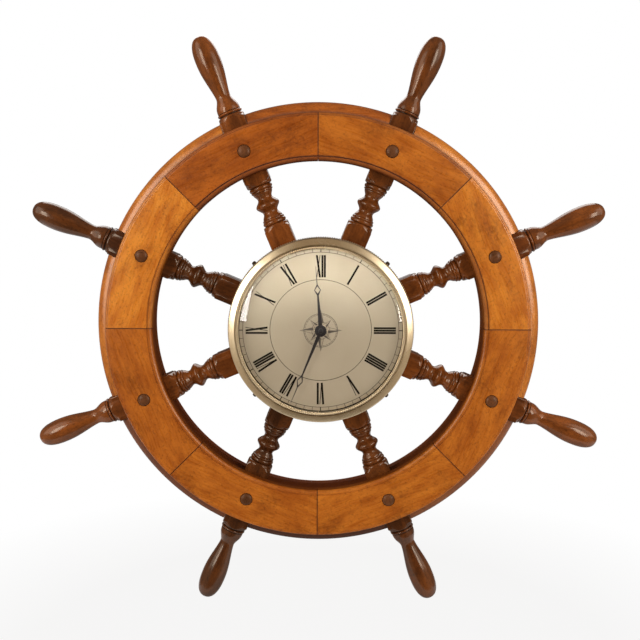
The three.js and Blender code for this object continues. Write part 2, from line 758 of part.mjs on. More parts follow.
// A hand pointing up: hub disc, tapered blade, open diamond and needle.
function handShape(hand, bore) {
  const { length, hub, root, waist, diamondFrom, diamondTo, diamond } = hand;
  const middle = (diamondFrom + diamondTo) / 2;
  const mouth = Math.asin(root / hub);
  const shape = new THREE.Shape();
  shape.absarc(0, 0, hub, Math.PI / 2 + mouth, Math.PI * 2.5 - mouth, false);
  shape.lineTo(waist, diamondFrom);
  shape.lineTo(diamond, middle);
  shape.lineTo(needleRoot, diamondTo);
  shape.lineTo(needleTip, length);
  shape.lineTo(-needleTip, length);
  shape.lineTo(-needleRoot, diamondTo);
  shape.lineTo(-diamond, middle);
  shape.lineTo(-waist, diamondFrom);
  shape.holes.push(new THREE.Path().absarc(0, 0, bore, 0, 2 * Math.PI, true));
  const window = new THREE.Path();
  const ribAlong = handRib * (diamondTo - diamondFrom) / (2 * diamond);
  window.moveTo(0, diamondFrom + ribAlong + handRib);
  window.lineTo(-(diamond - handRib), middle);
  window.lineTo(0, diamondTo - ribAlong - handRib / 2);
  window.lineTo(diamond - handRib, middle);
  shape.holes.push(window);
  return shape;
}

function addHands(group) {
  const hour = plate(handShape(hourHand, pipeRadius + pressGap), hourBack, hourBack + handThickness);
  addPiece(group, 'hour_hand', hour, handBlack).rotation.y = radians(hourAngle);
  const minute = plate(handShape(minuteHand, arborRadius + pressGap), minuteBack, minuteFront);
  addPiece(group, 'minute_hand', minute, handBlack).rotation.y = radians(minuteAngle);
  const nutBore = arborRadius + pressGap;
  const blindEnd = arborFront + pressGap;
  const nut = turned([
    ...domeOutline(handNutRadius, handNutDome, minuteFront + handNutHeight),
    ahead(handNutRadius, minuteFront),
    ahead(nutBore, minuteFront),
    ahead(nutBore, blindEnd),
    ahead(0, blindEnd),
  ], smallSides);
  addPiece(group, 'hand_nut', nut, handBlack);
}

const clock = new THREE.Group();
addWheel(clock);
addHub(clock);

const insert = new THREE.Group();
insert.position.x = insertShift;
clock.add(insert);
addInsert(insert);
addMovement(insert);
addMotionWork(insert);
addHands(insert);

export default clock;
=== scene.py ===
# Looks of the ship wheel wall clock, dressed round its fixed frame.
# Shapes are drawn in millimetres and finished in metres. The front faces -Y and +Z is up.
# Angles are clock angles in degrees: clockwise from the top, as seen from the front.

import json
import math

import bmesh
import bpy
from mathutils import Matrix, Vector

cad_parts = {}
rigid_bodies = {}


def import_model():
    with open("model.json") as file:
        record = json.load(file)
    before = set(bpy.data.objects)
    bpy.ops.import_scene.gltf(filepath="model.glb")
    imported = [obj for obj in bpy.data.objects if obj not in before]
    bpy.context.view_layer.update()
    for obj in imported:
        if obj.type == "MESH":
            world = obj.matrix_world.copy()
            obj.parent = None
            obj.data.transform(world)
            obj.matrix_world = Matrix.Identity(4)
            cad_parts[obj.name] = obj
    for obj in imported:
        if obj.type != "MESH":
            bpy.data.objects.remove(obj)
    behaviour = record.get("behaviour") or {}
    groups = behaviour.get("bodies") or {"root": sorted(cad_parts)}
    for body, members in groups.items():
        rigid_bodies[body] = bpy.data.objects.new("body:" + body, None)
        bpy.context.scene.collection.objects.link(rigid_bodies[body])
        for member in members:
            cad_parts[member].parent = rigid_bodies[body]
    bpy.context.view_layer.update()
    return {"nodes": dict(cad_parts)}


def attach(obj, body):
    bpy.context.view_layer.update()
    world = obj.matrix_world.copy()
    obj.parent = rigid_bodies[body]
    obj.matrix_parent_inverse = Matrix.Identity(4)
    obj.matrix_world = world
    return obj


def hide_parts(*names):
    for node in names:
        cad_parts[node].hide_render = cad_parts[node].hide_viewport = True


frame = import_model()

MM = 0.001
COUNT = 8
PITCH = 360 / COUNT

# Wheel, radii from its centre and distances in front of the wall
FACING_INNER = 161.5
FACING_OUTER = 207.0
RIM_INNER = 165.0
NOSE_ROOT = 206.0
NOSE_RADIUS = 13.0
CORE_BACK = 12.7
CORE_FRONT = 38.7
RIM_FRONT = 51.4
SPOKE_AXIS = 25.7
PEG_CIRCLE = 184.25
PEG_RADIUS = 6.0
PEG_DOME = 2.4
PEG_DEPTH = 7.7
PEG_SIDES = 40
HUB_RADIUS = 87.0
POCKET_RADIUS = 42.9
SEAM = 0.4
GLUE_GAP = 0.3

# Spoke
SQUARE = 25.4
BLANK_ROUND = 18.6
SPOKE_START = 47.9
BALUSTER_START = 109.8
BALUSTER_END = 149.5
COLLAR = 223.0
NECK = 242.0
NECK_RADIUS = 7.25
GRIP_RADIUS = 12.15
GRIP_RISE = 36.5
GRIP_TIP = 25.0
TURNED_RADIUS = 10.4
WAIST_RADIUS = 7.35
BELLY_RADIUS = 11.9
COLLAR_RADIUS = 11.4
COLLAR_LENGTH = 3.8
SPOKE_CORNER = 0.8
HANDLING = 0.06
SOILED_END = 0.18

# Clock insert
INSERT_X = 3.0
BEZEL_OUTER = 90.0
BEZEL_BORE = 84.3
LIP_RADIUS = 78.3
DIAL_RADIUS = 82.5
DIAL_BACK = 59.6
DIAL_FRONT = 60.4
GLASS_BACK = 64.8
GLASS_RADIUS = 84.0
GLASS_THICKNESS = 2.0
GLASS_RISE = 13.0
GLASS_RINGS = 28
HOUR_BACK = 64.0
MINUTE_BACK = 65.6
HAND_THICKNESS = 0.6
HAND_EDGE = 0.1
HAND_RIB = 0.75
NUT_RADIUS = 2.4
NUT_BORE = 1.2
HOUR_ANGLE = 355.5
MINUTE_ANGLE = 202.3


def srgb(red, green, blue):
    """A colour as it looks on a screen, as the linear colour that a shader takes."""
    def linear(value):
        share = value / 255
        return share / 12.92 if share <= 0.04045 else ((share + 0.055) / 1.055) ** 2.4
    return (linear(red), linear(green), linear(blue), 1.0)


def clock(angle):
    return Matrix.Rotation(math.radians(angle), 4, "Y")


# Node helpers

def feed(tree, value, socket):
    """Links a socket to another one, or sets a plain value on it."""
    if isinstance(value, bpy.types.NodeSocket):
        tree.links.new(value, socket)
    else:
        socket.default_value = value


def feed_inputs(tree, node, **values):
    """Feeds the inputs of a node by their names, with _ for a space."""
    for name, value in values.items():
        feed(tree, value, node.inputs[name.replace("_", " ")])
    return node


def add_node(tree, kind, **values):
    return feed_inputs(tree, tree.nodes.new(kind), **values)


def add_group(tree, group, **values):
    node = tree.nodes.new("ShaderNodeGroup")
    node.node_tree = group
    return feed_inputs(tree, node, **values)


def add_mix(tree, share, first, second, blend="MIX"):
    """A mix of two colours."""
    node = tree.nodes.new("ShaderNodeMix")
    node.data_type = "RGBA"
    node.blend_type = blend
    for socket, value in ((node.inputs[0], share), (node.inputs[6], first), (node.inputs[7], second)):
        feed(tree, value, socket)
    return node.outputs[2]


def add_math(tree, operation, *values, kind="ShaderNodeMath"):
    node = tree.nodes.new(kind)
    node.operation = operation
    for socket, value in zip(node.inputs, values):
        feed(tree, value, socket)
    return node.outputs


def add_sum(tree, first, second):
    return add_math(tree, "ADD", first, second)[0]


def add_product(tree, first, second):
    return add_math(tree, "MULTIPLY", first, second)[0]


def add_difference(tree, first, second):
    return add_math(tree, "SUBTRACT", first, second)[0]


def add_larger(tree, first, second):
    return add_math(tree, "MAXIMUM", first, second)[0]


def add_range(tree, value, low, high, to_low=0.0, to_high=1.0):
    return add_node(tree, "ShaderNodeMapRange", Value=value, From_Min=low, From_Max=high, To_Min=to_low,
                    To_Max=to_high).outputs[0]


def add_stretched_noise(tree, vector, scale, detail, roughness=0.55, distortion=0.0):
    """Noise with its own scale along each axis, per metre."""
    stretched = add_node(tree, "ShaderNodeMapping", Vector=vector, Scale=scale).outputs[0]
    return add_node(tree, "ShaderNodeTexNoise", Vector=stretched, Scale=1.0, Detail=detail,
                    Roughness=roughness, Distortion=distortion).outputs[0]


def add_shader_mix(tree, share, first, second):
    node = tree.nodes.new("ShaderNodeMixShader")
    for socket, value in zip(node.inputs, (share, first, second)):
        feed(tree, value, socket)
    return node.outputs[0]


def add_bump(tree, shader, height, strength, distance):
    bump = add_node(tree, "ShaderNodeBump", Height=height, Strength=strength, Distance=distance)
    feed_inputs(tree, shader, Normal=bump.outputs[0])


def attribute(tree, name, output="Fac"):
    node = tree.nodes.new("ShaderNodeAttribute")
    node.attribute_name = name
    return node.outputs[output]


def object_place(tree):
    return tree.nodes.new("ShaderNodeTexCoord").outputs["Object"]


def new_group(name, **inputs):
    """A group with its own inputs that puts out a colour, a roughness and a height."""
    group = bpy.data.node_groups.new(name, "ShaderNodeTree")
    for label, kind in inputs.items():
        group.interface.new_socket(label, in_out="INPUT", socket_type="NodeSocket" + kind)
    for label, kind in (("Color", "Color"), ("Roughness", "Float"), ("Height", "Float")):
        group.interface.new_socket(label, in_out="OUTPUT", socket_type="NodeSocket" + kind)
    return group, group.nodes.new("NodeGroupInput").outputs, group.nodes.new("NodeGroupOutput")


def new_material(name):
    material = bpy.data.materials.new(name)
    material.use_nodes = True
    tree = material.node_tree
    return material, tree, tree.nodes["Principled BSDF"]


# Shared effects

def make_timber_group():
    """Sawn and varnished timber. The first axis of its vector runs along the grain."""
    tree, given, made = new_group("timber", Along="Vector", Pale="Color", Deep="Color", Grime="Color",
                                  Dirt="Float", Blotches="Float")
    along, grime_and_shade = given["Along"], given["Grime"]
    drift = add_node(tree, "ShaderNodeTexNoise", Vector=along, Scale=11.0, Detail=2.0).outputs["Color"]
    wavy = add_math(tree, "MULTIPLY_ADD", drift, (0.0, 0.016, 0.016), along, kind="ShaderNodeVectorMath")[0]

    bands = add_stretched_noise(tree, wavy, (5.0, 80.0, 60.0), 4.0, distortion=0.4)
    lines = add_stretched_noise(tree, wavy, (30.0, 520.0, 420.0), 3.0)
    flecks = add_range(tree, add_stretched_noise(tree, wavy, (420.0, 480.0, 480.0), 3.0), 0.53, 0.7)
    pores = add_range(tree, add_stretched_noise(tree, wavy, (95.0, 1500.0, 1500.0), 1.0), 0.58, 0.72)
    mottle = add_stretched_noise(tree, along, (38.0, 85.0, 85.0), 4.0, roughness=0.65)
    blotch = add_stretched_noise(tree, along, (20.0, 30.0, 30.0), 4.0, roughness=0.65)
    blotch = add_range(tree, blotch, 0.5, 0.74)
    dots = add_stretched_noise(tree, along, (330.0, 420.0, 420.0), 2.0)
    dots = add_range(tree, dots, 0.4, 0.64, 0.3, 1.0)

    figure = add_sum(tree, add_product(tree, bands, 0.3), add_product(tree, lines, 0.16))
    figure = add_sum(tree, figure, add_product(tree, mottle, 0.54))
    color = add_mix(tree, add_range(tree, figure, 0.41, 0.59), given["Deep"], given["Pale"])
    color = add_mix(tree, add_product(tree, flecks, 0.36), color, grime_and_shade)
    color = add_mix(tree, add_product(tree, pores, 0.12), color, grime_and_shade)
    spots = add_product(tree, add_product(tree, blotch, dots), given["Blotches"])
    color = add_mix(tree, spots, color, grime_and_shade)
    # Darkens towards the dark colour by vertex: soiling, and painted shade in corners, on inner walls and on
    # shaded edges.
    color = add_mix(tree, given["Dirt"], color, grime_and_shade)

    rough = add_range(tree, lines, 0.3, 0.7, 0.24, 0.36)
    rough = add_sum(tree, rough, add_product(tree, given["Dirt"], 0.5))
    height = add_difference(tree, lines, add_product(tree, pores, 0.8))
    height = add_difference(tree, height, add_product(tree, flecks, 0.4))
    feed_inputs(tree, made, Color=color, Roughness=rough, Height=height)
    return tree


def make_speckle_group():
    """Fine speckle of a cast, plated or moulded surface, with a slow change of tone."""
    tree, given, made = new_group("speckle", Where="Vector", Pale="Color", Deep="Color", Fineness="Float")
    where = given["Where"]
    fine = add_node(tree, "ShaderNodeTexNoise", Vector=where, Scale=given["Fineness"], Detail=3.0).outputs[0]
    slow = add_node(tree, "ShaderNodeTexNoise", Vector=where, Scale=30.0, Detail=3.0).outputs[0]
    both = add_sum(tree, add_product(tree, fine, 0.5), add_product(tree, slow, 0.5))
    color = add_mix(tree, add_range(tree, both, 0.36, 0.64), given["Deep"], given["Pale"])
    feed_inputs(tree, made, Color=color, Roughness=add_range(tree, slow, 0.3, 0.7), Height=fine)
    return tree


timber = make_timber_group()
speckle = make_speckle_group()


# Finishes

VARNISH_TINT = (1.0, 0.84, 0.66, 1.0)
WOOD_RELIEF = 0.0004
SPECKLE_RELIEF = 0.0001


def varnished_wood(name, pale, deep, grime_and_shade, blotches, gloss, polish=1.0, relief=0.12):
    """Wood under varnish. pale and deep are pairs, for the palest and the deepest boards,
    or one colour each for a solid of the frame, which has no boards."""
    material, tree, shader = new_material(name)
    pale, deep = [srgb(*tone) for tone in pale], [srgb(*tone) for tone in deep]
    wood = add_group(tree, timber, Grime=srgb(*grime_and_shade), Blotches=blotches)
    if len(pale) == 1:
        feed_inputs(tree, wood, Along=object_place(tree), Pale=pale[0], Deep=deep[0])
    else:
        tone = attribute(tree, "tone")
        feed_inputs(tree, wood, Along=attribute(tree, "grain", "Vector"), Dirt=attribute(tree, "dirt"),
                    Pale=add_mix(tree, tone, *pale), Deep=add_mix(tree, tone, *deep))
    made = wood.outputs
    feed_inputs(tree, shader, Base_Color=made["Color"], Specular_IOR_Level=gloss, Specular_Tint=VARNISH_TINT,
                Roughness=add_product(tree, made["Roughness"], polish))
    add_bump(tree, shader, made["Height"], relief, WOOD_RELIEF)
    return material


def speckled(name, pale, deep, fineness, roughness, metallic, strength, tarnish=None, **values):
    """A metal, print or moulding. roughness is the pair of its smoothest and roughest places.
    tarnish is the colour of a metal in its grooves. values are set on the shader's sockets."""
    material, tree, shader = new_material(name)
    grain = add_group(tree, speckle, Where=object_place(tree), Pale=srgb(*pale), Deep=srgb(*deep),
                      Fineness=fineness).outputs
    color = grain["Color"]
    if tarnish:
        color = add_mix(tree, attribute(tree, "dirt"), color, srgb(*tarnish))
    rough = add_range(tree, grain["Roughness"], 0.0, 1.0, *roughness)
    feed_inputs(tree, shader, Base_Color=color, Roughness=rough, Metallic=metallic, **values)
    add_bump(tree, shader, grain["Height"], strength, SPECKLE_RELIEF)
    return material


def clear_glass():
    """Thin glass: its outer face mirrors, and lamps reach the dial behind it."""
    material, tree, shader = new_material("clear_glass")
    feed_inputs(tree, shader, Roughness=0.0, Transmission_Weight=1.0, IOR=1.52)
    path = tree.nodes.new("ShaderNodeLightPath").outputs
    passing = tree.nodes.new("ShaderNodeBsdfTransparent").outputs[0]
    shine = add_node(tree, "ShaderNodeBsdfGlossy", Roughness=0.0).outputs[0]
    inside = tree.nodes.new("ShaderNodeNewGeometry").outputs["Backfacing"]
    fresnel = add_node(tree, "ShaderNodeFresnel", IOR=1.5).outputs[0]
    mirror = add_product(tree, fresnel, add_difference(tree, 1.0, inside))
    lamps = add_larger(tree, path["Is Shadow Ray"], path["Is Diffuse Ray"])
    body = add_shader_mix(tree, lamps, shader.outputs[0], passing)
    sheet = add_shader_mix(tree, mirror, passing, shine)
    seen = add_shader_mix(tree, path["Is Camera Ray"], body, sheet)
    feed_inputs(tree, tree.nodes["Material Output"], Surface=seen)
    return material


# The third colour of each wood is the dark of its flecks and pores, of soiling, and of painted shade.
HONEY = dict(pale=((224, 139, 46), (176, 93, 27)), deep=((192, 106, 30), (144, 70, 17)), grime_and_shade=(70, 26, 6),
             blotches=0.7)
honey_wood = varnished_wood("honey_wood", **HONEY, gloss=0.3)
nose_wood = varnished_wood("nose_wood", **HONEY, gloss=0.55, polish=0.85)
rim_wall = varnished_wood("rim_wall", **HONEY, gloss=0.05)
dark_wood = varnished_wood(
    "dark_wood", pale=((150, 80, 30), (94, 50, 20)), deep=((108, 55, 19), (62, 31, 12)), grime_and_shade=(12, 6, 3),
    blotches=0.45, gloss=0.5, polish=0.55, relief=0.04)
hub_wood = varnished_wood(
    "hub_wood", pale=((92, 48, 21),), deep=((60, 31, 13),), grime_and_shade=(20, 10, 5), blotches=0.4, gloss=0.3)
peg_wood = varnished_wood(
    "peg_wood", pale=((118, 72, 42), (104, 62, 36)), deep=((90, 54, 30), (78, 46, 26)), grime_and_shade=(20, 10, 5),
    blotches=0.4, gloss=0.2)

# Pale and deep colour, grains per metre, smoothest and roughest, metal, height of the speckle
gold_plate = speckled("gold_plate", (222, 202, 166), (204, 182, 144), 900.0, (0.24, 0.34), 1.0, 0.25,
                      tarnish=(96, 78, 46), Coat_Weight=0.8, Coat_Roughness=0.16)
champagne = speckled("champagne", (238, 222, 192), (230, 213, 182), 1500.0, (0.15, 0.19), 0.62, 0.03)
print_ink = speckled("print_ink", (12, 10, 10), (7, 6, 6), 1800.0, (0.45, 0.6), 0.0, 0.05,
                     Specular_IOR_Level=0.02)
ornament_ink = speckled("ornament_ink", (84, 74, 62), (64, 56, 48), 1800.0, (0.45, 0.6), 0.0, 0.05)
hand_lacquer = speckled("hand_lacquer", (26, 18, 17), (16, 12, 12), 900.0, (0.3, 0.42), 0.0, 0.08)
screw_steel = speckled("screw_steel", (84, 72, 58), (52, 45, 38), 900.0, (0.35, 0.5), 1.0, 0.15)
zinc_plate = speckled("zinc_plate", (196, 194, 188), (160, 158, 152), 700.0, (0.3, 0.45), 1.0, 0.15)
pan_alloy = speckled("pan_alloy", (190, 184, 170), (160, 154, 140), 700.0, (0.35, 0.5), 1.0, 0.1)
case_moulding = speckled("case_moulding", (36, 38, 42), (26, 27, 30), 1200.0, (0.5, 0.65), 0.0, 0.3)
gear_moulding = speckled("gear_moulding", (226, 218, 200), (210, 200, 180), 1200.0, (0.35, 0.5), 0.0, 0.1)
black_rubber = speckled("black_rubber", (34, 33, 32), (24, 23, 22), 1000.0, (0.7, 0.85), 0.0, 0.3)
cell_jacket = speckled("cell_jacket", (78, 80, 84), (66, 68, 72), 500.0, (0.3, 0.45), 0.2, 0.05)
glass_clear = clear_glass()


# Shapes

class Outline:
    """A turned outline: radius, place along the axis, and how dark it is there, from soiling, tarnish and
    painted shade.
    """

    def __init__(self, radius, along, dirt=0.0):
        self.points = [(radius, along, dirt)]

    def line(self, radius, along, dirt=0.0):
        self.points.append((radius, along, dirt))
        return self

    def lines(self, *points):
        for point in points:
            self.line(*point)
        return self

    def arc(self, radius, along, hollow=False, steps=8, dirt=0.0):
        """A quarter of an ellipse. It leaves across the axis, or along it where it is hollow."""
        old_radius, old_along, _ = self.points[-1]
        for i in range(1, steps + 1):
            turn = math.pi / 2 * i / steps
            first, second = math.sin(turn), 1 - math.cos(turn)
            if hollow:
                first, second = second, first
            self.line(old_radius + (radius - old_radius) * first,
                      old_along + (along - old_along) * second, dirt)
        return self

    def bend(self, corner, end, steps=6):
        """A rounded corner: leaves towards the corner point and ends at the end point."""
        start = Vector(self.points[-1][:2])
        for i in range(1, steps + 1):
            share = i / steps
            point = start.lerp(Vector(corner), share).lerp(Vector(corner).lerp(Vector(end), share), share)
            self.line(point.x, point.y)
        return self

    def bead(self, rise, length, steps=10):
        """A half-round, darkened in both of its corners by soiling and painted shade."""
        radius, along, _ = self.points[-1]
        self.points[-1] = (radius, along, 1.0)
        for i in range(1, steps + 1):
            turn = math.pi * i / steps
            dirt = 1.0 if i == steps else 0.0
            self.line(radius + rise * math.sin(turn), along + length * (1 - math.cos(turn)) / 2, dirt)
        return self

    def sweep(self, radius, length, power=1.0, steps=12):
        """A smooth run from one radius to the next."""
        old_radius, along, _ = self.points[-1]
        for i in range(1, steps + 1):
            share = (1 - math.cos(math.pi * i / steps)) / 2
            self.line(old_radius + (radius - old_radius) * share ** power, along + length * i / steps)
        return self


WELD = 1e-4
WALL_MARGIN = 0.2


def face_outward(bm):
    bmesh.ops.recalc_face_normals(bm, faces=bm.faces[:])


def all_of(bm):
    return bm.verts[:] + bm.edges[:] + bm.faces[:]


def only(kind, pieces):
    return [piece for piece in pieces if isinstance(piece, kind)]


def as_mesh(bm, name):
    """The shape as a mesh. The bmesh is used up."""
    mesh = bpy.data.meshes.new(name)
    bm.to_mesh(mesh)
    bm.free()
    return mesh


def new_object(name, data):
    made = bpy.data.objects.new(name, data)
    bpy.context.collection.objects.link(made)
    return made


def outline_verts(outline, bm, upright):
    """The outline's points. Upright ones turn about Z, the others about the wheel's axis."""
    dirt = bm.verts.layers.float.new("dirt")
    for radius, along, grime_and_shade in outline.points:
        vert = bm.verts.new((radius, 0, along) if upright else (0, -along, radius))
        vert[dirt] = grime_and_shade
    bm.verts.ensure_lookup_table()
    return bm.verts[:]


def lathe(outline, steps, closed=False, upright=False):
    """The outline turned all the way round. A closed one makes a ring."""
    bm = bmesh.new()
    verts = outline_verts(outline, bm, upright)
    edges = [bm.edges.new(pair) for pair in zip(verts, verts[1:])]
    if closed:
        edges.append(bm.edges.new((verts[-1], verts[0])))
    bmesh.ops.spin(bm, geom=verts + edges, cent=(0, 0, 0), axis=(0, 0, 1) if upright else (0, 1, 0),
                   angle=2 * math.pi, steps=steps, use_merge=True)
    bmesh.ops.remove_doubles(bm, verts=bm.verts[:], dist=WELD)
    face_outward(bm)
    return bm


def ring_part(outline, half_angle, steps):
    """A stretch of ring with closed ends, centred at the top."""
    bm = bmesh.new()
    face = bm.faces.new(outline_verts(outline, bm, upright=False))
    bmesh.ops.rotate(bm, verts=bm.verts[:], cent=(0, 0, 0), matrix=clock(-half_angle).to_3x3())
    bmesh.ops.spin(bm, geom=[face, *face.edges, *face.verts], cent=(0, 0, 0), axis=(0, 1, 0),
                   angle=math.radians(2 * half_angle), steps=steps)
    face_outward(bm)
    return bm


def cut_end(bm, point, outward):
    """Cuts a shape with a plane, takes away what lies outward of it and closes the cut."""
    cut = bmesh.ops.bisect_plane(bm, geom=all_of(bm), plane_co=point, plane_no=outward, clear_outer=True)
    bmesh.ops.edgeloop_fill(bm, edges=only(bmesh.types.BMEdge, cut["geom_cut"]))
    face_outward(bm)


def score_line(bm, point, across):
    """Adds a line of vertices where a plane meets a shape."""
    bmesh.ops.bisect_plane(bm, geom=all_of(bm), plane_co=point, plane_no=across)


def evaluated_shape(obj):
    """The shape of an object with its modifiers or its curve's fill."""
    evaluated = obj.evaluated_get(bpy.context.evaluated_depsgraph_get())
    bm = bmesh.new()
    bm.from_mesh(evaluated.to_mesh())
    evaluated.to_mesh_clear()
    return bm


def carve(bm, cutter):
    """Takes one closed shape out of another."""
    objects = [new_object("carving", as_mesh(shape, "carving")) for shape in (bm, cutter)]
    cut = objects[0].modifiers.new("cut", "BOOLEAN")
    cut.object = objects[1]
    cut.solver = "EXACT"
    left = evaluated_shape(objects[0])
    for obj in objects:
        mesh = obj.data
        bpy.data.objects.remove(obj)
        bpy.data.meshes.remove(mesh)
    return left


def stand_up(back, front, z=0.0):
    """Turns what is drawn flat to stand parallel to the wall, midway between back and front."""
    return Matrix.Translation((0, -(back + front) / 2, z)) @ Matrix.Rotation(math.pi / 2, 4, "X")


def bar(radius, back, front, z, sides):
    """A round bar along the wheel's axis."""
    bm = bmesh.new()
    bmesh.ops.create_cone(bm, cap_ends=True, segments=sides, radius1=radius, radius2=radius,
                          depth=front - back, matrix=stand_up(back, front, z))
    return bm


def flat_plate(outlines, back, front, edge):
    """A plate parallel to the wall. The first outline is its edge and the others are holes."""
    curve = bpy.data.curves.new("plate", "CURVE")
    curve.dimensions = "2D"
    curve.fill_mode = "BOTH"
    curve.extrude = (front - back) / 2 - edge
    curve.bevel_depth = edge
    curve.bevel_resolution = 1
    curve.offset = -edge
    for points in outlines:
        spline = curve.splines.new("POLY")
        spline.points.add(len(points) - 1)
        for place, (x, z) in zip(spline.points, points):
            place.co = (x, z, 0, 1)
        spline.use_cyclic_u = True
    drawn = new_object("plate", curve)
    bm = evaluated_shape(drawn)
    bpy.data.objects.remove(drawn)
    bpy.data.curves.remove(curve)
    bmesh.ops.remove_doubles(bm, verts=bm.verts[:], dist=WELD)
    bmesh.ops.transform(bm, matrix=stand_up(back, front), verts=bm.verts[:])
    face_outward(bm)
    return bm


# What a nearly full turn is short of, in degrees
OPEN = 1e-3


def circle_points(radius, x=0.0, z=0.0, start=0.0, end=360.0, steps=24):
    """Points round part of a circle, by angles from +x towards +z."""
    angles = [math.radians(start + (end - start) * i / steps) for i in range(steps + 1)]
    points = [(x + radius * math.cos(angle), z + radius * math.sin(angle)) for angle in angles]
    return points[:-1] if end - start >= 360 else points


def finish(bm, name, material, nodes=(), body="wheel", place=Matrix(), grain=None, tone=0.0, crease=38,
           wall=None):
    """Makes a piece of a shape. grain gives the place along and across its board.
    wall is the radius of an inner wall that has no varnish."""
    if wall:
        for face in bm.faces:
            middle = face.calc_center_median()
            face.material_index = int(math.hypot(middle.x, middle.z) < wall + WALL_MARGIN)
    if grain:
        board = bm.verts.layers.float_vector.new("grain")
        shade = bm.verts.layers.float.new("tone")
        for vert in bm.verts:
            vert[board] = grain(vert.co) * MM
            vert[shade] = tone
    bmesh.ops.transform(bm, matrix=Matrix.Scale(MM, 4) @ place, verts=bm.verts[:])
    mesh = as_mesh(bm, name)
    mesh.polygons.foreach_set("use_smooth", [True] * len(mesh.polygons))
    mesh.set_sharp_from_angle(angle=math.radians(crease))
    mesh.materials.append(material)
    if wall:
        mesh.materials.append(rim_wall)
    piece = new_object(name, mesh)
    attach(piece, body)
    if nodes:
        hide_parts(*nodes)


def board_along_rim(index):
    """Grain of a rim board: straight along its chord. Each board has its own stretch of timber."""
    shift = Vector((410.0, 73.0, 31.0)) * index
    return lambda co: Vector((co.x, co.z - PEG_CIRCLE, co.y)) + shift


def board_along_spoke(index):
    shift = Vector((530.0, 47.0, 89.0)) * index
    return lambda co: Vector((co.z, co.x, co.y)) + shift


# Rim

INNER_EASE = 3.6
INNER_EASE_RISE = 3.3
OUTER_EASE = 2.4
REAR_EASE = 2.5
JOINT_SOIL = 0.75
JOINT_SOIL_WIDTH = 0.7
JOINT_MATCH = 0.02
BOARD_STEPS = 30
BORE_PAST = 4.0
HALF_BOARD = PITCH / 2 - math.degrees(SEAM / 2 / PEG_CIRCLE)

# Cut lines beside the facing's edges: distance from the edge, depth, and darkening from soiling and painted
# shade
INNER_CUT = ((3.9, 0.7, 1.0), (4.7, 0.7, 1.0), (5.0, 0.05, 0.3), (6.4, 0.0, 0.0))
OUTER_CUT = ((3.4, 0.0, 0.0), (2.8, 0.05, 0.3), (2.4, 0.35, 1.0), (2.1, 0.2, 0.0))

# One value for each board, clockwise from the first one right of the top.
# A tone of 0 is the palest and 1 the deepest.
FACING_TONES = (0.7, 0.3, 0.7, 0.6, 0.7, 0.8, 0.1, 1.0)
# The inner and outer values darken each facing's eased edges and cut lines. Besides soiling they hold painted
# shade, strongest on the top boards: under their inner edges and in the joint along their outer edges.
INNER_SOIL_AND_SHADE = (1.0, 0.8, 0.2, 0.2, 0.2, 0.2, 0.5, 1.0)
OUTER_SOIL_AND_SHADE = (0.8, 0.1, 0.1, 0.1, 0.1, 0.1, 0.5, 0.8)
FELLOE_TONES = (0.2, 0.3, 0.7, 1.0, 1.0, 0.5, 0.3, 1.0)
# Painted shade on the bullnoses of the lower boards, which face down.
FELLOE_UNDERSIDE_SHADE = (0.0, 0.0, 0.5, 1.0, 0.7, 0.0, 0.0, 0.0)


def soil_board_ends(bm, inner, outer):
    """Soiling in the open joints at both ends of a rim board."""
    middle = (inner + outer) / 2
    for side in (-1, 1):
        across = clock(side * HALF_BOARD) @ Vector((1, 0, 0))
        point = clock(side * HALF_BOARD) @ Vector((-side * JOINT_SOIL_WIDTH, 0, middle))
        score_line(bm, point, across)
    dirt = bm.verts.layers.float["dirt"]
    for vert in bm.verts:
        angle = math.degrees(math.atan2(vert.co.x, vert.co.z))
        if abs(abs(angle) - HALF_BOARD) < JOINT_MATCH:
            vert[dirt] = JOINT_SOIL


def front_facing_outline(inner_soil_and_shade, outer_soil_and_shade):
    """Front facing: both edges eased, with a fine cut line beside each. The eases and cut lines are darkened
    by soiling and painted shade, and the inner wall is painted dark, partly as painted shade.
    """
    outline = Outline(FACING_INNER, CORE_FRONT, 0.95)
    outline.lines((FACING_INNER, CORE_FRONT + 1.0, 0.8), (FACING_INNER, RIM_FRONT - 5.2, 0.7),
                  (FACING_INNER, RIM_FRONT - INNER_EASE, 0.5 + 0.5 * inner_soil_and_shade))
    for i in range(1, 9):
        turn = math.pi / 2 * i / 8
        outline.line(FACING_INNER + INNER_EASE * (1 - math.cos(turn)),
                     RIM_FRONT - INNER_EASE + INNER_EASE_RISE * math.sin(turn),
                     inner_soil_and_shade * (0.95 - 0.6 * i / 8))
    for inside, depth, dirt in INNER_CUT:
        outline.line(FACING_INNER + inside, RIM_FRONT - depth, dirt * inner_soil_and_shade)
    for inside, depth, dirt in OUTER_CUT:
        outline.line(FACING_OUTER - inside, RIM_FRONT - depth, dirt * outer_soil_and_shade)
    outline.arc(FACING_OUTER, RIM_FRONT - OUTER_EASE, dirt=0.5 * outer_soil_and_shade)
    return outline.lines((FACING_OUTER, CORE_FRONT + 1.0, 0.3), (FACING_OUTER, CORE_FRONT, 0.95))


def make_front_facings():
    for i in range(COUNT):
        bm = ring_part(front_facing_outline(INNER_SOIL_AND_SHADE[i], OUTER_SOIL_AND_SHADE[i]), HALF_BOARD, BOARD_STEPS)
        soil_board_ends(bm, FACING_INNER, FACING_OUTER)
        bm = carve(bm, bar(PEG_RADIUS + GLUE_GAP, CORE_FRONT - BORE_PAST, RIM_FRONT + BORE_PAST, PEG_CIRCLE,
                           PEG_SIDES))
        finish(bm, f"facing_board_{i + 1}", honey_wood, [f"front_facing_{i + 1}"],
               place=clock((i + 0.5) * PITCH), grain=board_along_rim(i + 1), tone=FACING_TONES[i],
               wall=FACING_INNER)


# Painted shade at the first points of the bullnose, in the joint with the facing
NOSE_SHADE_LINE = {1: 0.9, 2: 0.3}


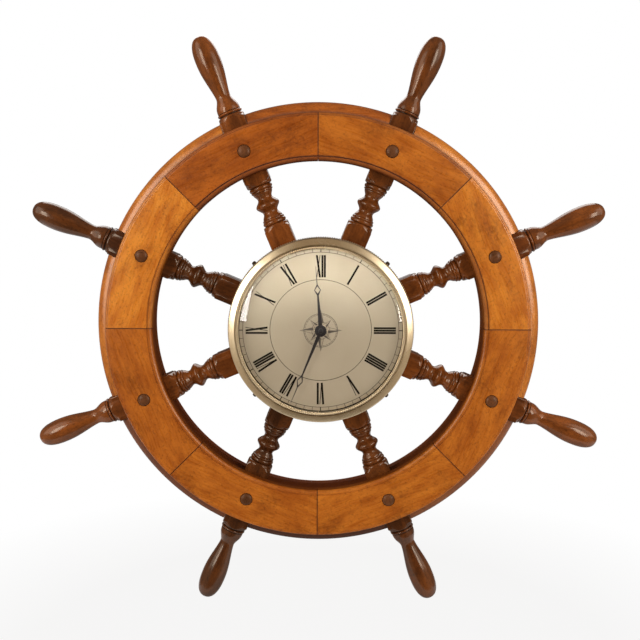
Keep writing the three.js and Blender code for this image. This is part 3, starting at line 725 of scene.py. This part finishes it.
def felloe_outline(grime_and_shade):
    """Felloe: a bullnose outside and a flat wall inside, dirty along the joints of the layers. Its inner wall
    is painted dark, partly as painted shade, and the bullnose of a lower board gets painted shade.
    """
    outline = Outline(RIM_INNER, CORE_BACK, 1.0)
    outline.lines((RIM_INNER, CORE_BACK + 1.5, 0.82), (RIM_INNER, CORE_FRONT - 3.0, 0.86),
                  (RIM_INNER, CORE_FRONT, 1.0), (NOSE_ROOT, CORE_FRONT, 1.0),
                  (NOSE_ROOT + 0.8, CORE_FRONT, 1.0))
    for i in range(1, 24):
        turn = math.pi * (0.5 - i / 24)
        outline.line(NOSE_ROOT + NOSE_RADIUS * math.cos(turn), SPOKE_AXIS + NOSE_RADIUS * math.sin(turn),
                     NOSE_SHADE_LINE.get(i, grime_and_shade))
    return outline.lines((NOSE_ROOT + 0.8, CORE_BACK, 1.0), (NOSE_ROOT, CORE_BACK, 1.0))


def make_felloes():
    notch = SQUARE / 2 + GLUE_GAP
    for i in range(COUNT):
        bm = ring_part(felloe_outline(FELLOE_UNDERSIDE_SHADE[i]), PITCH / 2, BOARD_STEPS)
        for side in (-1, 1):
            beside = clock(side * PITCH / 2)
            outward = beside @ Vector((side, 0, 0))
            cut_end(bm, beside @ Vector((-side * notch, 0, 0)), outward)
        finish(bm, f"felloe_board_{i + 1}", nose_wood, [f"felloe_{i + 1}"],
               place=clock((i + 1) * PITCH), grain=board_along_rim(i + 21), tone=FELLOE_TONES[i],
               wall=RIM_INNER)


def rear_facing_outline():
    # Darkened along its joint with the felloe, and its inner wall is painted dark, partly as painted shade.
    outline = Outline(RIM_INNER, CORE_BACK, 0.8)
    outline.lines((FACING_OUTER, CORE_BACK, 0.8), (FACING_OUTER, CORE_BACK - 1.0), (FACING_OUTER, REAR_EASE))
    outline.arc(FACING_OUTER - REAR_EASE, 0, hollow=True)
    outline.line(RIM_INNER + REAR_EASE, 0).arc(RIM_INNER, REAR_EASE)
    return outline.lines((RIM_INNER, 4.0, 0.82), (RIM_INNER, CORE_BACK - 1.0, 0.86))


# Keyhole hanger
HANGER_HALF = 9.0
HANGER_FROM = 170.0
HANGER_TO = 202.0
HANGER_CORNER = 3.0
KEYHOLE_Z = 180.5
KEYHOLE_RADIUS = 4.8
KEYHOLE_RISE = 11.0
KEYHOLE_HALF_SLOT = 2.7
KEYHOLE_DEPTH = 9.0
HANGER_THICKNESS = 2.0
HANGER_SCREWS = (172.9, 198.2)
HANGER_SCREW_RADIUS = 2.2
HANGER_SLOT = (6.0, 1.0, 0.55)
BEHIND_WALL = -2.0
SHARP = 0.01


def rounded_rectangle(half, bottom, top, corner):
    x, high, low = half - corner, top - corner, bottom + corner
    points = circle_points(corner, x, high, 0, 90, 8) + circle_points(corner, -x, high, 90, 180, 8)
    points += circle_points(corner, -x, low, 180, 270, 8)
    return points + circle_points(corner, x, low, 270, 360 - OPEN, 8)


def make_rear_facings():
    for i in range(COUNT):
        bm = ring_part(rear_facing_outline(), HALF_BOARD, BOARD_STEPS)
        soil_board_ends(bm, RIM_INNER, FACING_OUTER)
        if i == COUNT - 1:
            seat = rounded_rectangle(HANGER_HALF + GLUE_GAP, HANGER_FROM - GLUE_GAP, HANGER_TO + GLUE_GAP,
                                     HANGER_CORNER + GLUE_GAP)
            bm = carve(bm, flat_plate([seat], BEHIND_WALL, HANGER_THICKNESS + GLUE_GAP, SHARP))
            reach = KEYHOLE_RADIUS + GLUE_GAP
            room = rounded_rectangle(reach, KEYHOLE_Z - reach, KEYHOLE_Z + KEYHOLE_RISE + reach,
                                     reach - SHARP)
            bm = carve(bm, flat_plate([room], BEHIND_WALL, KEYHOLE_DEPTH, SHARP))
        finish(bm, f"rear_board_{i + 1}", honey_wood, [f"rear_facing_{i + 1}"],
               place=clock((i + 1) * PITCH), grain=board_along_rim(i + 41), tone=FELLOE_TONES[i],
               wall=RIM_INNER)


def make_hanger():
    mouth = math.degrees(math.asin(KEYHOLE_HALF_SLOT / KEYHOLE_RADIUS))
    keyhole = circle_points(KEYHOLE_RADIUS, 0, KEYHOLE_Z, 90 + mouth, 450 - mouth - OPEN, 28)
    keyhole += circle_points(KEYHOLE_HALF_SLOT, 0, KEYHOLE_Z + KEYHOLE_RISE, 0, 180, 14)
    holes = [circle_points(HANGER_SCREW_RADIUS + 0.1, 0, z) for z in HANGER_SCREWS]
    edge = rounded_rectangle(HANGER_HALF, HANGER_FROM, HANGER_TO, HANGER_CORNER)
    plate = flat_plate([edge, keyhole, *holes], 0.0, HANGER_THICKNESS, 0.2)
    finish(plate, "keyhole_plate", zinc_plate, ["hanger_plate"])
    for i, z in enumerate(HANGER_SCREWS):
        head = Outline(0, 1.8).lines((1.2, 1.8), (HANGER_SCREW_RADIUS, 0.5), (HANGER_SCREW_RADIUS, 0.25),
                                     (HANGER_SCREW_RADIUS - 0.2, 0.1), (0, 0.1))
        slot = bmesh.new()
        turned = clock(35 + 50 * i) @ Matrix.Diagonal((*HANGER_SLOT, 1.0))
        bmesh.ops.create_cube(slot, size=1.0, matrix=turned)
        finish(carve(lathe(head, 24), slot), f"hanger_screw_{i + 1}", zinc_plate,
               place=Matrix.Translation((0, 0, z)))


# Spokes and pegs

def add_shoulder(outline, end, dirt=0.0):
    """The end of a square block: its corners turned away, then a round in to the turning, darkened where it
    meets the turning by soiling and painted shade.
    """
    outline.line(BLANK_ROUND, end - 5.2, dirt).line(13.2, end - 2.6, dirt)
    outline.arc(11.0, end, hollow=True, steps=6, dirt=dirt)
    outline.line(TURNED_RADIUS, end + 0.4, 1.0)


def spoke_outline():
    """A spoke from the hub to its tip: square block, baluster, square block, collar and grip."""
    outline = Outline(0, SPOKE_START).line(BLANK_ROUND, SPOKE_START)
    first_half = len(outline.points)
    add_shoulder(outline, BALUSTER_START)
    # The grooves beside the beads are darkened: soiling and painted shade.
    outline.bead(1.3, 3.8).bead(0.6, 2.0)
    outline.line(9.9, BALUSTER_START + 6.5, 0.2)
    outline.sweep(WAIST_RADIUS, 6.0).sweep(BELLY_RADIUS, 7.35)
    for radius, along, dirt in outline.points[-2:first_half - 1:-1]:
        outline.line(radius, BALUSTER_START + BALUSTER_END - along, dirt)

    outline.lines((BLANK_ROUND, COLLAR - 30.0), (BLANK_ROUND, COLLAR - 18.0, SOILED_END))
    add_shoulder(outline, COLLAR, SOILED_END)
    outline.line(TURNED_RADIUS, COLLAR + 0.8, 1.0).bead(1.9, 2.7)
    outline.line(COLLAR_RADIUS, COLLAR + COLLAR_LENGTH, 0.4)
    outline.sweep(NECK_RADIUS, NECK - COLLAR - COLLAR_LENGTH, power=1.6, steps=20)
    swell = GRIP_RADIUS - NECK_RADIUS
    for i in range(1, 25):
        share = i / 24
        outline.line(NECK_RADIUS + swell * math.sin(math.pi / 2 * share) ** 1.4, NECK + GRIP_RISE * share,
                     HANDLING)
    for i in range(1, 25):
        turn = math.pi / 2 * i / 24
        outline.line(GRIP_RADIUS * math.cos(turn) ** 0.8,
                     NECK + GRIP_RISE + GRIP_TIP * math.sin(turn) ** 0.8, HANDLING)
    return outline


def square_off(bm, half, corner):
    """Keeps the turning inside the square blank, with slightly rounded corners."""
    flat = half - corner
    for vert in bm.verts:
        x = max(-half, min(half, vert.co.x))
        y = max(-half, min(half, vert.co.y))
        if abs(x) > flat and abs(y) > flat:
            out = Vector((abs(x) - flat, abs(y) - flat))
            if out.length > corner:
                out *= corner / out.length
            x = math.copysign(flat + out.x, x)
            y = math.copysign(flat + out.y, y)
        vert.co.x = x
        vert.co.y = y


SPOKE_TONES = (0.6, 0.3, 0.2, 0.7, 1.0, 0.2, 0.9, 0.2)


def make_spokes():
    for i in range(COUNT):
        bm = lathe(spoke_outline(), 96, upright=True)
        square_off(bm, SQUARE / 2, SPOKE_CORNER)
        place = clock((i + 0.5) * PITCH) @ Matrix.Translation((0, -SPOKE_AXIS, 0))
        finish(bm, f"turned_spoke_{i + 1}", dark_wood, [f"spoke_{i + 1}"], place=place,
               grain=board_along_spoke(i + 1), tone=SPOKE_TONES[i], crease=32)


def make_pegs():
    for i in range(COUNT):
        dome = Outline(0, RIM_FRONT + PEG_DOME).arc(PEG_RADIUS - 0.25, RIM_FRONT + 0.3, steps=12)
        # The peg's side where it sinks into its bore is darkened: soiling and painted shade in the gap.
        dome.lines((PEG_RADIUS, RIM_FRONT - 0.1, 0.35), (PEG_RADIUS, RIM_FRONT - 1.0, 1.0),
                   (PEG_RADIUS, CORE_FRONT - PEG_DEPTH), (0, CORE_FRONT - PEG_DEPTH))
        bm = lathe(dome, PEG_SIDES)
        place = clock((i + 0.5) * PITCH) @ Matrix.Translation((0, 0, PEG_CIRCLE))
        finish(bm, f"domed_peg_{i + 1}", peg_wood, [f"peg_{i + 1}"], place=place,
               grain=board_along_spoke(i + 61), tone=0.5)


# Hub

HUB_FRONT_EASE = 1.2
HUB_REAR_EASE = 1.5
HUB_TONE = 0.4


def make_hub():
    front = Outline(POCKET_RADIUS, RIM_FRONT).line(HUB_RADIUS - HUB_FRONT_EASE, RIM_FRONT)
    front.arc(HUB_RADIUS, RIM_FRONT - HUB_FRONT_EASE, steps=5).line(HUB_RADIUS, CORE_FRONT + 0.6)
    front.line(HUB_RADIUS - 0.5, CORE_FRONT, 1.0).line(POCKET_RADIUS, CORE_FRONT)
    rear = Outline(0, CORE_BACK).line(HUB_RADIUS - 0.5, CORE_BACK, 1.0).line(HUB_RADIUS, CORE_BACK - 0.6)
    rear.line(HUB_RADIUS, HUB_REAR_EASE).arc(HUB_RADIUS - HUB_REAR_EASE, 0, hollow=True, steps=6).line(0, 0)
    for side, bm in (("front", lathe(front, 128, closed=True)), ("rear", lathe(rear, 128))):
        finish(bm, f"hub_{side}_board", dark_wood, [f"hub_{side}_disc"],
               grain=board_along_spoke(81), tone=HUB_TONE)


# Clock insert

TEETH = 256
TOOTH_STEPS = 6
TOOTH_LIFT = 0.5
ROPE_LIFT = 0.36
ROPE_RADIUS = 79.7
ROPE_MIDDLE = 70.3
ROPE_BEAD = 1.1
TOOTH_TARNISH = 0.35
ROPE_TARNISH = 0.27
BAND_INNER = 82.2
BAND_WIDTH = 5.7
BAND_FRONT = 69.5
BAND_FALL = 1.8
BAND_CROWN = 0.3
BEZEL_WALL = 88.6
MILLED_RADIUS = 89.4
SCREW_LINE = 54.6
SCREW_RADIUS = 2.2
SCREW_DEPTH = 1.4
insert_place = Matrix.Translation((INSERT_X, 0, 0))


def bezel_outline():
    """Bezel: lip, rope bead, sloping band and milled edge, and which points are rope and milled."""
    outline = Outline(LIP_RADIUS, 68.75).line(LIP_RADIUS, 69.6)
    rope_start = len(outline.points)
    for i in range(10):
        turn = math.pi * (1.08 - 1.16 * i / 9)
        outline.line(ROPE_RADIUS + ROPE_BEAD * math.cos(turn), ROPE_MIDDLE + ROPE_BEAD * math.sin(turn))
    rope = range(rope_start, len(outline.points))
    outline.lines((81.2, 69.1, 0.7), (81.6, 69.0, 0.7), (82.0, 69.4))
    for i in range(11):
        share = i / 10
        outline.line(BAND_INNER + BAND_WIDTH * share,
                     BAND_FRONT - BAND_FALL * share - BAND_CROWN * share ** 2)
    outline.bend((BEZEL_WALL, 67.1), (BEZEL_WALL, 66.0))
    outline.lines((BEZEL_WALL, 60.2), (BEZEL_WALL, 59.6, 0.5))
    milled_start = len(outline.points)
    outline.line(MILLED_RADIUS - 0.3, 59.2)
    for along in (58.6, 56.0, 54.0, 52.3):
        outline.line(MILLED_RADIUS, along)
    milled = range(milled_start, len(outline.points))
    outline.lines((88.8, 51.6), (88.4, 51.4), (BEZEL_BORE, RIM_FRONT), (BEZEL_BORE, 67.1))
    return outline, rope, milled


def make_bezel():
    outline, rope, milled = bezel_outline()
    bm = bmesh.new()
    bm.verts.layers.int.new("kind")
    verts = outline_verts(outline, bm, upright=False)
    kind = bm.verts.layers.int["kind"]
    dirt = bm.verts.layers.float["dirt"]
    for i, vert in enumerate(verts):
        vert[kind] = (i in rope) - (i in milled)
    edges = [bm.edges.new(pair) for pair in zip(verts, verts[1:] + verts[:1])]
    bmesh.ops.spin(bm, geom=verts + edges, cent=(0, 0, 0), axis=(0, 1, 0), angle=math.radians(PITCH),
                   steps=TEETH * TOOTH_STEPS // COUNT)
    wedge = all_of(bm)
    for i in range(1, COUNT):
        copy = bmesh.ops.duplicate(bm, geom=wedge)["geom"]
        bmesh.ops.rotate(bm, verts=only(bmesh.types.BMVert, copy), cent=(0, 0, 0),
                         matrix=clock(i * PITCH).to_3x3())
    bmesh.ops.remove_doubles(bm, verts=bm.verts[:], dist=10 * WELD)
    for vert in bm.verts:
        if not vert[kind]:
            continue
        turn = math.atan2(vert.co.x, vert.co.z) * TEETH
        radius = math.hypot(vert.co.x, vert.co.z)
        outward = Vector((vert.co.x / radius, 0, vert.co.z / radius))
        if vert[kind] < 0:
            lean = 0.0
            height, lift, depth = math.cos(turn), TOOTH_LIFT, TOOTH_TARNISH
        else:
            lean = math.atan2(-vert.co.y - ROPE_MIDDLE, radius - ROPE_RADIUS)
            height, lift, depth = math.cos(turn + 2 * lean), ROPE_LIFT, ROPE_TARNISH
        vert[dirt] = depth * (1 - height)
        vert.co += lift * height * (outward * math.cos(lean) + Vector((0, -math.sin(lean), 0)))
    bm.verts.layers.int.remove(kind)
    face_outward(bm)
    finish(bm, "gold_bezel", gold_plate, ["bezel"], place=insert_place, crease=50)

    for i in range(4):
        head = Outline(0, BEZEL_OUTER + 2.3).lines((1.4, BEZEL_OUTER + 2.1), (2.0, BEZEL_OUTER + 1.5))
        head.lines((SCREW_RADIUS, BEZEL_OUTER - SCREW_DEPTH), (0, BEZEL_OUTER - SCREW_DEPTH))
        place = insert_place @ clock(45 + 90 * i) @ Matrix.Translation((0, -SCREW_LINE, 0))
        finish(lathe(head, 20, upright=True), f"bezel_screw_{i + 1}", screw_steel, place=place)


def glass_lift(radius):
    return GLASS_RISE * (1 - (radius / GLASS_RADIUS) ** 2)


def make_glass():
    radii = [GLASS_RADIUS * i / GLASS_RINGS for i in range(GLASS_RINGS + 1)]
    outline = Outline(0, GLASS_BACK + GLASS_THICKNESS + glass_lift(0))
    for radius in radii[1:]:
        outline.line(radius, GLASS_BACK + GLASS_THICKNESS + glass_lift(radius))
    for radius in reversed(radii):
        outline.line(radius, GLASS_BACK + glass_lift(radius))
    finish(lathe(outline, 128), "domed_glass", glass_clear, ["glass"], place=insert_place)


# Dial

INK = 0.04
NUMERAL_FOOT = 51.0
NUMERAL_HEAD = 72.2
STROKE = 1.9
HAIRLINE = 0.6
LETTER_GAP = 0.42
SLANT = 3.0
TRACK_INNER = 75.0
TRACK_OUTER = 78.4
DIAL_BORE = 4.0
DIAL_STEPS = 160

# Radius and width of each printed ring, and length and half width of the star's long and short points
DIAL_RINGS = ((TRACK_INNER, 0.4), (48.8, 0.45), (79.0, 1.1))
COMPASS_RINGS = ((15.0, 0.3), (16.2, 0.5), (8.6, 0.3))
STAR_POINTS = ((20.0, 3.0), (13.8, 2.3))
STAR_EYE = 7.0
COMPASS_MARKS = 32
NUMERALS = ("XII", "I", "II", "III", "IIII", "V", "VI", "VII", "VIII", "IX", "X", "XI")


def add_stroke(bm, place, foot, head, width, bottom, top):
    """One straight stroke of ink, from its foot to its head, cut level at both ends."""
    ink = Matrix((
        (width, 0, head - foot, (foot + head) / 2),
        (0, INK, 0, -DIAL_FRONT - INK / 2),
        (0, 0, top - bottom, (bottom + top) / 2),
        (0, 0, 0, 1),
    ))
    bmesh.ops.create_cube(bm, size=1.0, matrix=place @ ink)


def letter_width(letter):
    return STROKE if letter == "I" else SLANT + STROKE


def add_numeral(bm, letters, place):
    def stroke(foot, head, width):
        add_stroke(bm, place, foot, head, width, NUMERAL_FOOT, NUMERAL_HEAD)

    width = sum(letter_width(letter) for letter in letters) + LETTER_GAP * (len(letters) - 1)
    at = -width / 2
    for letter in letters:
        left = at + STROKE / 2
        right = at + letter_width(letter) - STROKE / 2
        middle = (left + right) / 2
        if letter == "I":
            stroke(middle, middle, STROKE)
        elif letter == "V":
            stroke(middle, left, STROKE)
            stroke(middle + 0.3, right + 0.3, HAIRLINE)
        else:
            stroke(right, left, STROKE)
            stroke(left, right, HAIRLINE)
        at += letter_width(letter) + LETTER_GAP


def add_ink_ring(bm, radius, width):
    inner, outer = radius - width / 2, radius + width / 2
    ring = Outline(inner, DIAL_FRONT)
    ring.lines((outer, DIAL_FRONT), (outer, DIAL_FRONT + INK), (inner, DIAL_FRONT + INK))
    mesh = as_mesh(lathe(ring, DIAL_STEPS, closed=True), "ink")
    bm.from_mesh(mesh)
    bpy.data.meshes.remove(mesh)


def make_dial():
    disc = Outline(DIAL_BORE, DIAL_FRONT)
    disc.lines((DIAL_RADIUS - 0.2, DIAL_FRONT), (DIAL_RADIUS, DIAL_FRONT - 0.2), (DIAL_RADIUS, DIAL_BACK),
               (DIAL_BORE, DIAL_BACK))
    finish(lathe(disc, DIAL_STEPS, closed=True), "dial_disc", champagne, ["dial"],
           place=insert_place)

    bm = bmesh.new()
    for hour, letters in enumerate(NUMERALS):
        add_numeral(bm, letters, clock(hour * 30))
    for minute in range(60):
        whole = minute % 5 == 0
        add_stroke(bm, clock(minute * 6), 0, 0, 0.8 if whole else 0.4, TRACK_INNER, TRACK_OUTER)
    finish(bm, "dial_numerals", print_ink, place=insert_place)
    rings = bmesh.new()
    for radius, width in DIAL_RINGS:
        add_ink_ring(rings, radius, width)
    finish(rings, "dial_rings", print_ink, place=insert_place)
    make_ornament()


def make_ornament():
    """A compass star in fine lines round the middle of the dial."""
    bm = bmesh.new()
    for i in range(8):
        length, half = STAR_POINTS[i % 2]
        root = half / math.tan(math.radians(22.5))
        corners = [bm.verts.new((x, -DIAL_FRONT, z)) for x, z in ((0, length), (half, root), (0, STAR_EYE))]
        raised = bmesh.ops.extrude_face_region(bm, geom=[bm.faces.new(corners)])["geom"]
        lifted = only(bmesh.types.BMVert, raised)
        bmesh.ops.translate(bm, verts=lifted, vec=(0, -INK, 0))
        bmesh.ops.rotate(bm, verts=corners + lifted, cent=(0, 0, 0), matrix=clock(i * 45).to_3x3())
        add_stroke(bm, clock(i * 45), -half, 0, 0.35, root, length)
    for radius, width in COMPASS_RINGS:
        add_ink_ring(bm, radius, width)
    inner, outer = COMPASS_RINGS[0][0], COMPASS_RINGS[1][0]
    for i in range(COMPASS_MARKS):
        add_stroke(bm, clock(i * 360 / COMPASS_MARKS), 0, 0, 0.3, inner, outer)
    face_outward(bm)
    finish(bm, "dial_ornament", ornament_ink, place=insert_place)


# Hands

def hand_outlines(length, hub, root, waist, diamond_from, diamond_to, diamond, bore):
    """A hand pointing up: hub disc, tapered blade, open diamond and needle."""
    middle = (diamond_from + diamond_to) / 2
    mouth = math.degrees(math.asin(root / hub))
    edge = circle_points(hub, 0, 0, 90 + mouth, 450 - mouth - OPEN, 40)
    edge += [(waist, diamond_from), (diamond, middle), (0.45, diamond_to), (0.2, length)]
    edge += [(-0.2, length), (-0.45, diamond_to), (-diamond, middle), (-waist, diamond_from)]
    rib_along = HAND_RIB * (diamond_to - diamond_from) / (2 * diamond)
    window = [(0, diamond_from + rib_along + HAND_RIB), (diamond - HAND_RIB, middle),
              (0, diamond_to - rib_along - HAND_RIB / 2), (HAND_RIB - diamond, middle)]
    return [edge, circle_points(bore, steps=20), window]


def make_hands():
    hour = hand_outlines(length=62, hub=5.8, root=1.9, waist=0.8, diamond_from=34, diamond_to=44.5,
                         diamond=3.2, bore=2.5)
    minute = hand_outlines(length=75.5, hub=5.4, root=1.7, waist=0.7, diamond_from=46, diamond_to=59,
                           diamond=2.9, bore=1.2)
    for name, outlines, back, angle in (("hour", hour, HOUR_BACK, HOUR_ANGLE),
                                        ("minute", minute, MINUTE_BACK, MINUTE_ANGLE)):
        bm = flat_plate(outlines, back, back + HAND_THICKNESS, HAND_EDGE)
        finish(bm, f"{name}_pointer", hand_lacquer, [f"{name}_hand"], body=name,
               place=insert_place @ clock(angle))
    foot = MINUTE_BACK + HAND_THICKNESS
    nut = Outline(0, foot + 2.2).arc(NUT_RADIUS, foot + 1.1)
    nut.lines((NUT_RADIUS, foot), (NUT_BORE, foot), (NUT_BORE, foot + 1.6), (0, foot + 1.6))
    finish(lathe(nut, 32), "domed_nut", hand_lacquer, ["hand_nut"], body="minute",
           place=insert_place)


make_front_facings()
make_felloes()
make_rear_facings()
make_hanger()
make_spokes()
make_pegs()
make_hub()
make_bezel()
make_glass()
make_dial()
make_hands()

for names, material in (
    (["hub_core"], hub_wood),
    (["case_pan"], pan_alloy),
    (["glass_gasket"], black_rubber),
    (["movement_front_case", "movement_lid"], case_moulding),
    (["battery"], cell_jacket),
    (["shaft_nut"], gold_plate),
    (["minute_arbor"], zinc_plate),
    (["motion_wheel", "hour_wheel", "setting_knob"], gear_moulding),
):
    for name in names:
        node = frame["nodes"][name]
        node.data.materials.clear()
        node.data.materials.append(material)


# Studio

FLOOR_CENTRE = (0.0, 0.55, -0.62)
FLOOR_HALF = (1.2, 0.95)
FLOOR_GREY = (0.6, 0.6, 0.6, 1)
FLOOR_FADE = (0.5, 0.93)
FLOOR_GLOW = 0.88
WHITE = (1, 1, 1, 1)


def make_floor():
    """A plain pale floor below the clock that keeps its shadow and runs out into white."""
    bm = bmesh.new()
    bmesh.ops.create_grid(bm, x_segments=2, y_segments=2, size=1.0,
                          matrix=Matrix.Translation(FLOOR_CENTRE) @ Matrix.Diagonal((*FLOOR_HALF, 1.0, 1.0)))
    floor = new_object("floor", as_mesh(bm, "floor"))
    material, tree, shader = new_material("pale_floor")
    feed_inputs(tree, shader, Base_Color=FLOOR_GREY, Roughness=0.9)
    bright = add_node(tree, "ShaderNodeEmission", Color=WHITE, Strength=1.0)
    reach = add_math(tree, "DISTANCE", object_place(tree), FLOOR_CENTRE, kind="ShaderNodeVectorMath")["Value"]
    running_out = add_range(tree, reach, *FLOOR_FADE)
    camera, mirrored = seen_directly(tree)
    from_camera = add_product(tree, camera, add_range(tree, running_out, 0.0, 1.0, FLOOR_GLOW, 1.0))
    white = add_larger(tree, from_camera, add_product(tree, mirrored, running_out))
    seen = add_shader_mix(tree, white, shader.outputs[0], bright.outputs[0])
    feed_inputs(tree, tree.nodes["Material Output"], Surface=seen)
    floor.data.materials.append(material)


def seen_directly(tree):
    """1 for rays from the camera, and 1 for those that metal and glass send on."""
    path = tree.nodes.new("ShaderNodeLightPath").outputs
    return path["Is Camera Ray"], add_larger(tree, path["Is Glossy Ray"], path["Is Transmission Ray"])


# Light of the room from straight below to straight above, in shares of that way
ROOM_LIGHT = (
    (0.0, (0.15, 0.15, 0.15)), (0.2, (0.26, 0.2, 0.15)), (0.35, (0.16, 0.13, 0.1)),
    (0.45, (0.08, 0.07, 0.06)), (0.6, (0.1, 0.09, 0.08)), (0.78, (0.38, 0.29, 0.21)),
    (1.0, (0.32, 0.28, 0.24)),
)
SIDE_LIGHT = (0.5, 0.42, 0.34)
SIDE_EDGE = (0.36, 0.6)
DIM_BEHIND = 0.55
DIM_EDGE = (-0.15, 0.2)
BACKDROP_EDGE = (0.988, 0.999)
WINDOW_AIM = Vector((0, -0.07, 0.03))
WINDOW_DISTANCE = 1.55
WINDOW_RISE = 11.0
WINDOW_SIZE = (0.41, 0.77)
WINDOW_WATTS = 8.4
LEFT_WINDOW = -41.5
RIGHT_WINDOW = 43.0
WINDOW_LEAN = 8.0
GLINT_WATTS = 10.5
GLINT_FURTHER = 1.02
SIDE_SIZE = (0.95, 1.3)
SIDE_RISE = 22.0
SIDE_WATTS = 6.5
SHINE_SIZE = (1.0, 1.2)


def make_world():
    """A white backdrop behind the clock, and a dim room with paler sides in front of it."""
    world = bpy.data.worlds.new("studio")
    world.use_nodes = True
    bpy.context.scene.world = world
    tree = world.node_tree
    where = tree.nodes.new("ShaderNodeTexCoord").outputs["Generated"]
    way = add_node(tree, "ShaderNodeSeparateXYZ", Vector=where).outputs
    ramp = add_node(tree, "ShaderNodeValToRGB", Fac=add_range(tree, way["Z"], -1.0, 1.0))
    stops = ramp.color_ramp.elements
    while len(stops) < len(ROOM_LIGHT):
        stops.new(0.5)
    for stop, (place, level) in zip(stops, ROOM_LIGHT):
        stop.position = place
        stop.color = (*level, 1)
    sides = add_range(tree, add_math(tree, "ABSOLUTE", way["X"])[0], *SIDE_EDGE)
    room = add_mix(tree, sides, ramp.outputs[0], (*SIDE_LIGHT, 1))
    behind = add_range(tree, way["Y"], *DIM_EDGE, 1.0, DIM_BEHIND)
    room = add_mix(tree, 1.0, room, behind, blend="MULTIPLY")
    camera, mirrored = seen_directly(tree)
    backdrop = add_range(tree, way["Y"], *BACKDROP_EDGE)
    white = add_larger(tree, camera, add_product(tree, mirrored, backdrop))
    feed_inputs(tree, tree.nodes["Background"], Color=add_mix(tree, white, room, WHITE), Strength=1.0)


def add_window(name, across, rise, size, watts, lean=0.0):
    """A soft window light, placed by its angles as seen from the clock. lean turns it in its plane."""
    turn, lift = math.radians(across), math.radians(rise)
    away = Vector((math.sin(turn) * math.cos(lift), -math.cos(turn) * math.cos(lift), math.sin(lift)))
    lamp = bpy.data.lights.new(name, "AREA")
    lamp.shape = "RECTANGLE"
    lamp.size, lamp.size_y = size
    lamp.energy = watts
    window = new_object(name, lamp)
    window.location = WINDOW_AIM + away * WINDOW_DISTANCE
    turned = (-away).to_track_quat("-Z", "Y").to_matrix() @ Matrix.Rotation(math.radians(lean), 3, "Z")
    window.rotation_euler = turned.to_euler()
    return window


def light_only(lamp, *names):
    """Lets a lamp reach only the pieces whose names start in one of these ways."""
    lit = bpy.data.collections.new(f"lit_by_{lamp.name}")
    for piece in bpy.data.objects:
        if piece.name.startswith(names):
            lit.objects.link(piece)
    lamp.light_linking.receiver_collection = lit


def add_rear_light():
    """A window high behind the clock, for its back."""
    lamp = add_window("rear_window", across=180.0, rise=42.0, size=(1.4, 0.9), watts=12.0)
    light_only(lamp, "rear_board", "turned_spoke", "hub_rear_board", "keyhole_plate", "hanger_screw")


def add_rim_shine(name, across, rise, watts):
    """A tall window at one side that only shows as the shine along the rim's rounded edges."""
    lamp = add_window(name, across, rise, SHINE_SIZE, watts)
    lamp.visible_diffuse = False
    light_only(lamp, "facing_board", "felloe_board")


def add_glass_glint(name, across, lean):
    """A second window just behind the first, seen only as a bright patch in the glass."""
    lamp = add_window(name, across, WINDOW_RISE, WINDOW_SIZE, GLINT_WATTS, lean)
    lamp.location *= GLINT_FURTHER
    lamp.visible_diffuse = False
    light_only(lamp, "domed_glass")


def add_dial_light():
    """A dim panel in front that only the satin dial mirrors, so that its upper half is paler."""
    panel = add_window("dial_light", across=1.0, rise=3.4, size=(0.7, 0.475), watts=1.18)
    panel.data.cycles.use_multiple_importance_sampling = False
    light_only(panel, "dial_disc")


SENSOR_WIDTH = 36.0
LENS = 52.243
CAMERA_PLACE = Vector((0.00934, -0.9455, 0.11185))
CAMERA_TARGET = Vector((0.002242, -0.0514, 0.009041))
CAMERA_ROLL = 0.154


def make_camera():
    camera = bpy.data.cameras.new("camera")
    camera.sensor_width = SENSOR_WIDTH
    camera.lens = LENS
    view = new_object("camera", camera)
    view.location = CAMERA_PLACE
    roll = Matrix.Rotation(math.radians(CAMERA_ROLL), 3, "Z")
    aimed = (CAMERA_TARGET - CAMERA_PLACE).to_track_quat("-Z", "Y").to_matrix() @ roll
    view.rotation_euler = aimed.to_euler()
    bpy.context.scene.camera = view


make_floor()
make_world()
add_window("left_window", LEFT_WINDOW, WINDOW_RISE, WINDOW_SIZE, WINDOW_WATTS, -WINDOW_LEAN)
add_window("right_window", RIGHT_WINDOW, WINDOW_RISE, WINDOW_SIZE, WINDOW_WATTS, WINDOW_LEAN)
add_window("left_side", -63.5, SIDE_RISE, SIDE_SIZE, SIDE_WATTS)
add_window("right_side", 66.5, SIDE_RISE, SIDE_SIZE, SIDE_WATTS)
add_rear_light()
add_rim_shine("left_shine", across=-58.0, rise=16.0, watts=16.0)
add_rim_shine("right_shine", across=58.0, rise=20.0, watts=25.0)
add_glass_glint("left_glint", LEFT_WINDOW, -WINDOW_LEAN)
add_glass_glint("right_glint", RIGHT_WINDOW, WINDOW_LEAN)
add_dial_light()
make_camera()
bpy.context.scene.view_settings.view_transform = "Standard"
